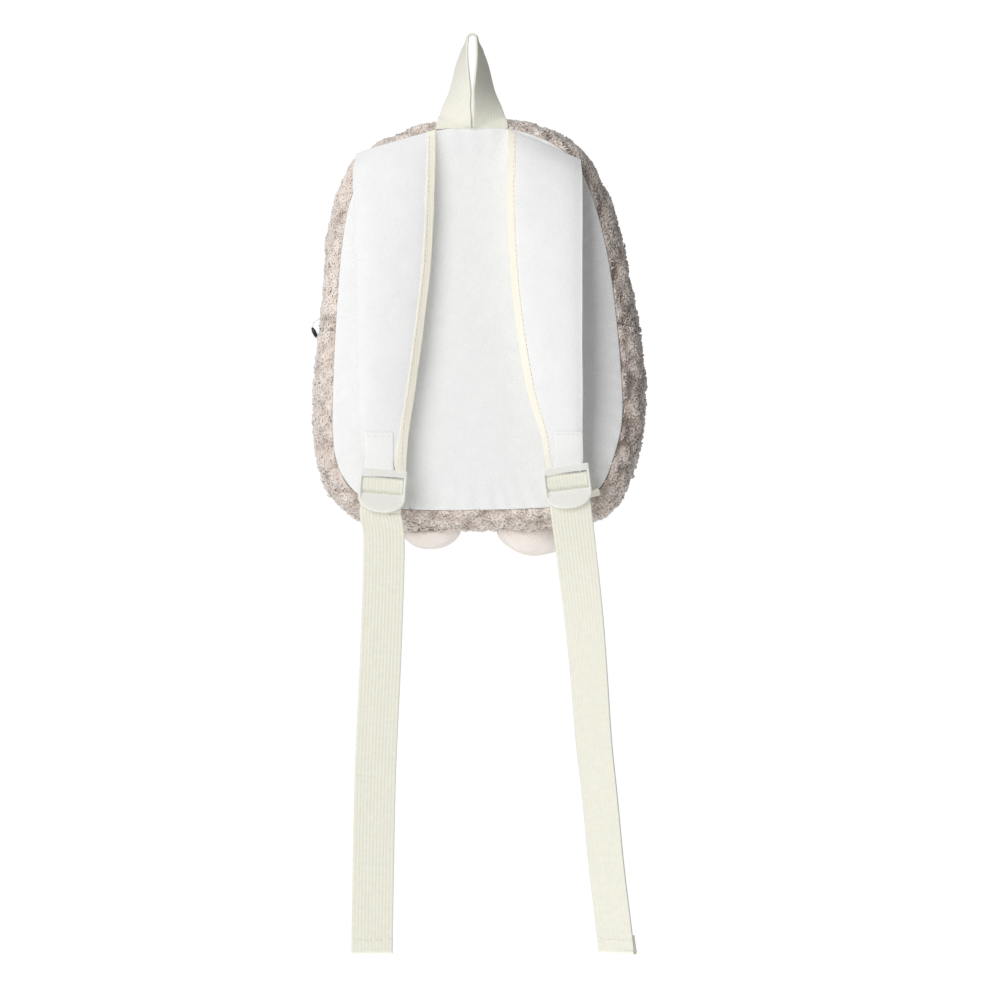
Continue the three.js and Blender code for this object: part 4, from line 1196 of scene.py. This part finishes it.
for side in SIDES:
    lock = adjuster_frame(side)
    across_bar = np.array(lock.to_3x3() @ Vector((1, 0, 0)))
    middle_v, middle_w, radius = THREAD_BEND
    bend = [
        (middle_v + radius * math.sin(angle), middle_w + radius * math.cos(angle))
        for angle in np.linspace(math.pi, 0, BEND_STEPS)
    ]
    threaded = np.array([lock @ Vector((0, v, w)) for v, w in (*THREAD_RISE, *bend, *THREAD_FALL)])
    anchor = np.array(ANCHOR_ROWS[side])
    rise = (anchor[-1] + threaded[0]) / 2
    sewn_across = np.array(ANCHOR_ACROSS[side], float)
    load = smooth_rows(np.concatenate([anchor, [rise], threaded[:2]]), LOAD_STEPS)
    thread = smooth_rows(threaded[1:], THREAD_STEPS)
    tail_rows = np.concatenate([[(*threaded[-1], 0)], np.array(TAIL_ROWS[side], float)])
    tail = smooth_rows(tail_rows, TAIL_STEPS)
    route = np.concatenate([load[:-1], thread[:-1], tail[:, :3]])
    shares = np.linspace(0, 1, len(load) - 1)[:, None]
    load_across = sewn_across * (1 - shares) + across_bar * shares
    thread_across = np.tile(across_bar, (len(thread) - 1, 1))
    tail_shares = np.clip(np.linspace(0, TAIL_LEVELLING, len(tail)), 0, 1)[:, None]
    level = across_bar * (1 - tail_shares) + np.array((1.0, 0, 0)) * tail_shares
    tail_along = np.gradient(tail[:, :3], axis=0)
    tail_across = np.array([
        Matrix.Rotation(math.radians(turn), 3, Vector(way)) @ Vector(flat)
        for turn, way, flat in zip(tail[:, 3], tail_along, level)
    ])
    across = np.concatenate([load_across, thread_across, tail_across])
    down = tail_along[-1] / np.linalg.norm(tail_along[-1])
    behind = np.cross(tail_across[-1], down)
    behind *= np.sign(behind[1])
    fold = [
        route[-1] + HEM_FOLD * (behind * (1 - math.cos(angle)) + down * math.sin(angle))
        for angle in np.linspace(HEM_FOLD_FROM, math.pi, HEM_FOLD_STEPS)
    ]
    back_up = [fold[-1] - down * s for s in np.linspace(HEM_BACK_FROM, HEM_LENGTH, HEM_BACK_STEPS)]
    tail_foot = route[-1]
    route = np.concatenate([route, fold, back_up])
    across = np.concatenate([across, np.tile(tail_across[-1], (len(fold) + len(back_up), 1))])
    webbing = ribbed_strip(side + "_strap_webbing", route * MM, across, WEB_WIDTH)
    finished(webbing, cream_webbing, "cream_webbing", side + "_webbing")
    hem_at = (tail_foot - down * (HEM_LENGTH - HEM_STITCH_DROP)) * MM
    half = tail_across[-1] * (WEB_WIDTH / 2 - HEM_STITCH_INSET)
    hem_line = np.array([hem_at - half, hem_at + half])
    stitch_piece(side + "_hem_stitches", surface_of(webbing), hem_line, pale_thread)

# Floor, light and camera
# The bag hangs on its hook in front of white, well above a pale floor. A wide soft lamp stands
# to its left, a weak one lights it from below, and the white room gives back some of the light.
FLOOR_Z = -1.45
FLOOR_RADIUS = 1.5
FLOOR_PALE = (0.89, 0.89, 0.885, 1)
FLOOR_DARK = (0.86, 0.86, 0.855, 1)
FLOOR_GRAIN = 6
VIEW_DISTANCE = 3.0
VIEW_PLACE = Vector((0.0175, -VIEW_DISTANCE, -0.2919))
VIEW_WIDTH = 0.625
VIEW_PLANE = 2.984
VIEW_END = 20
SENSOR = 36.0
ROOM_SEEN = 1.02
ROOM_LIGHT = 0.32
LAMP_AIM = Vector((0.0, -0.02, -0.24))
# Each lamp: its name, watts, width and height, and where it stands, in metres.
LAMPS = (
    ("wide lamp", 25.0, (1.05, 1.5), Vector((-0.84, -1.34, 0.32))),
    ("low fill", 5.5, (0.7, 0.7), Vector((0.02, -0.12, -1.3))),
)

ground = bmesh.new()
floor_place = Matrix.Translation((0, 0, FLOOR_Z))
bmesh.ops.create_circle(ground, cap_ends=True, segments=96, radius=FLOOR_RADIUS, matrix=floor_place)
floor = placed(ground, "floor")
floor_material, floor_tree, floor_shader = bare_material("pale floor", roughness=0.9)
floor_at = floor_tree.nodes.new("ShaderNodeTexCoord").outputs["Object"]
grain = noise_node(floor_tree, floor_at, FLOOR_GRAIN, 2)
floor_colour = blended(floor_tree, grain, FLOOR_DARK, FLOOR_PALE)
floor_tree.links.new(floor_colour, floor_shader.inputs["Base Color"])
floor.data.materials.append(floor_material)

room = bpy.data.worlds.new("white room")
bpy.context.scene.world = room
room.use_nodes = True
room_tree = room.node_tree
background = room_tree.nodes["Background"]
background.inputs["Color"].default_value = (1, 1, 1, 1)
seen = room_tree.nodes.new("ShaderNodeLightPath").outputs["Is Camera Ray"]
strength = math_node(room_tree, "MULTIPLY", seen, ROOM_SEEN - ROOM_LIGHT)
room_tree.links.new(math_node(room_tree, "ADD", strength, ROOM_LIGHT), background.inputs["Strength"])

for name, power, size, stand in LAMPS:
    lamp_data = bpy.data.lights.new(name, "AREA")
    lamp_data.shape = "RECTANGLE"
    lamp_data.energy = power
    lamp_data.size, lamp_data.size_y = size
    lamp = linked(name, lamp_data)
    lamp.location = stand
    lamp.rotation_euler = (LAMP_AIM - stand).to_track_quat("-Z", "Y").to_euler()

view_data = bpy.data.cameras.new("view")
view_data.sensor_width = SENSOR
view_data.lens = SENSOR * VIEW_PLANE / VIEW_WIDTH
view_data.clip_end = VIEW_END
view = linked("view", view_data)
view.location = VIEW_PLACE
view.rotation_euler = (math.pi / 2, 0, 0)
bpy.context.scene.camera = view
bpy.context.scene.view_settings.view_transform = "Standard"
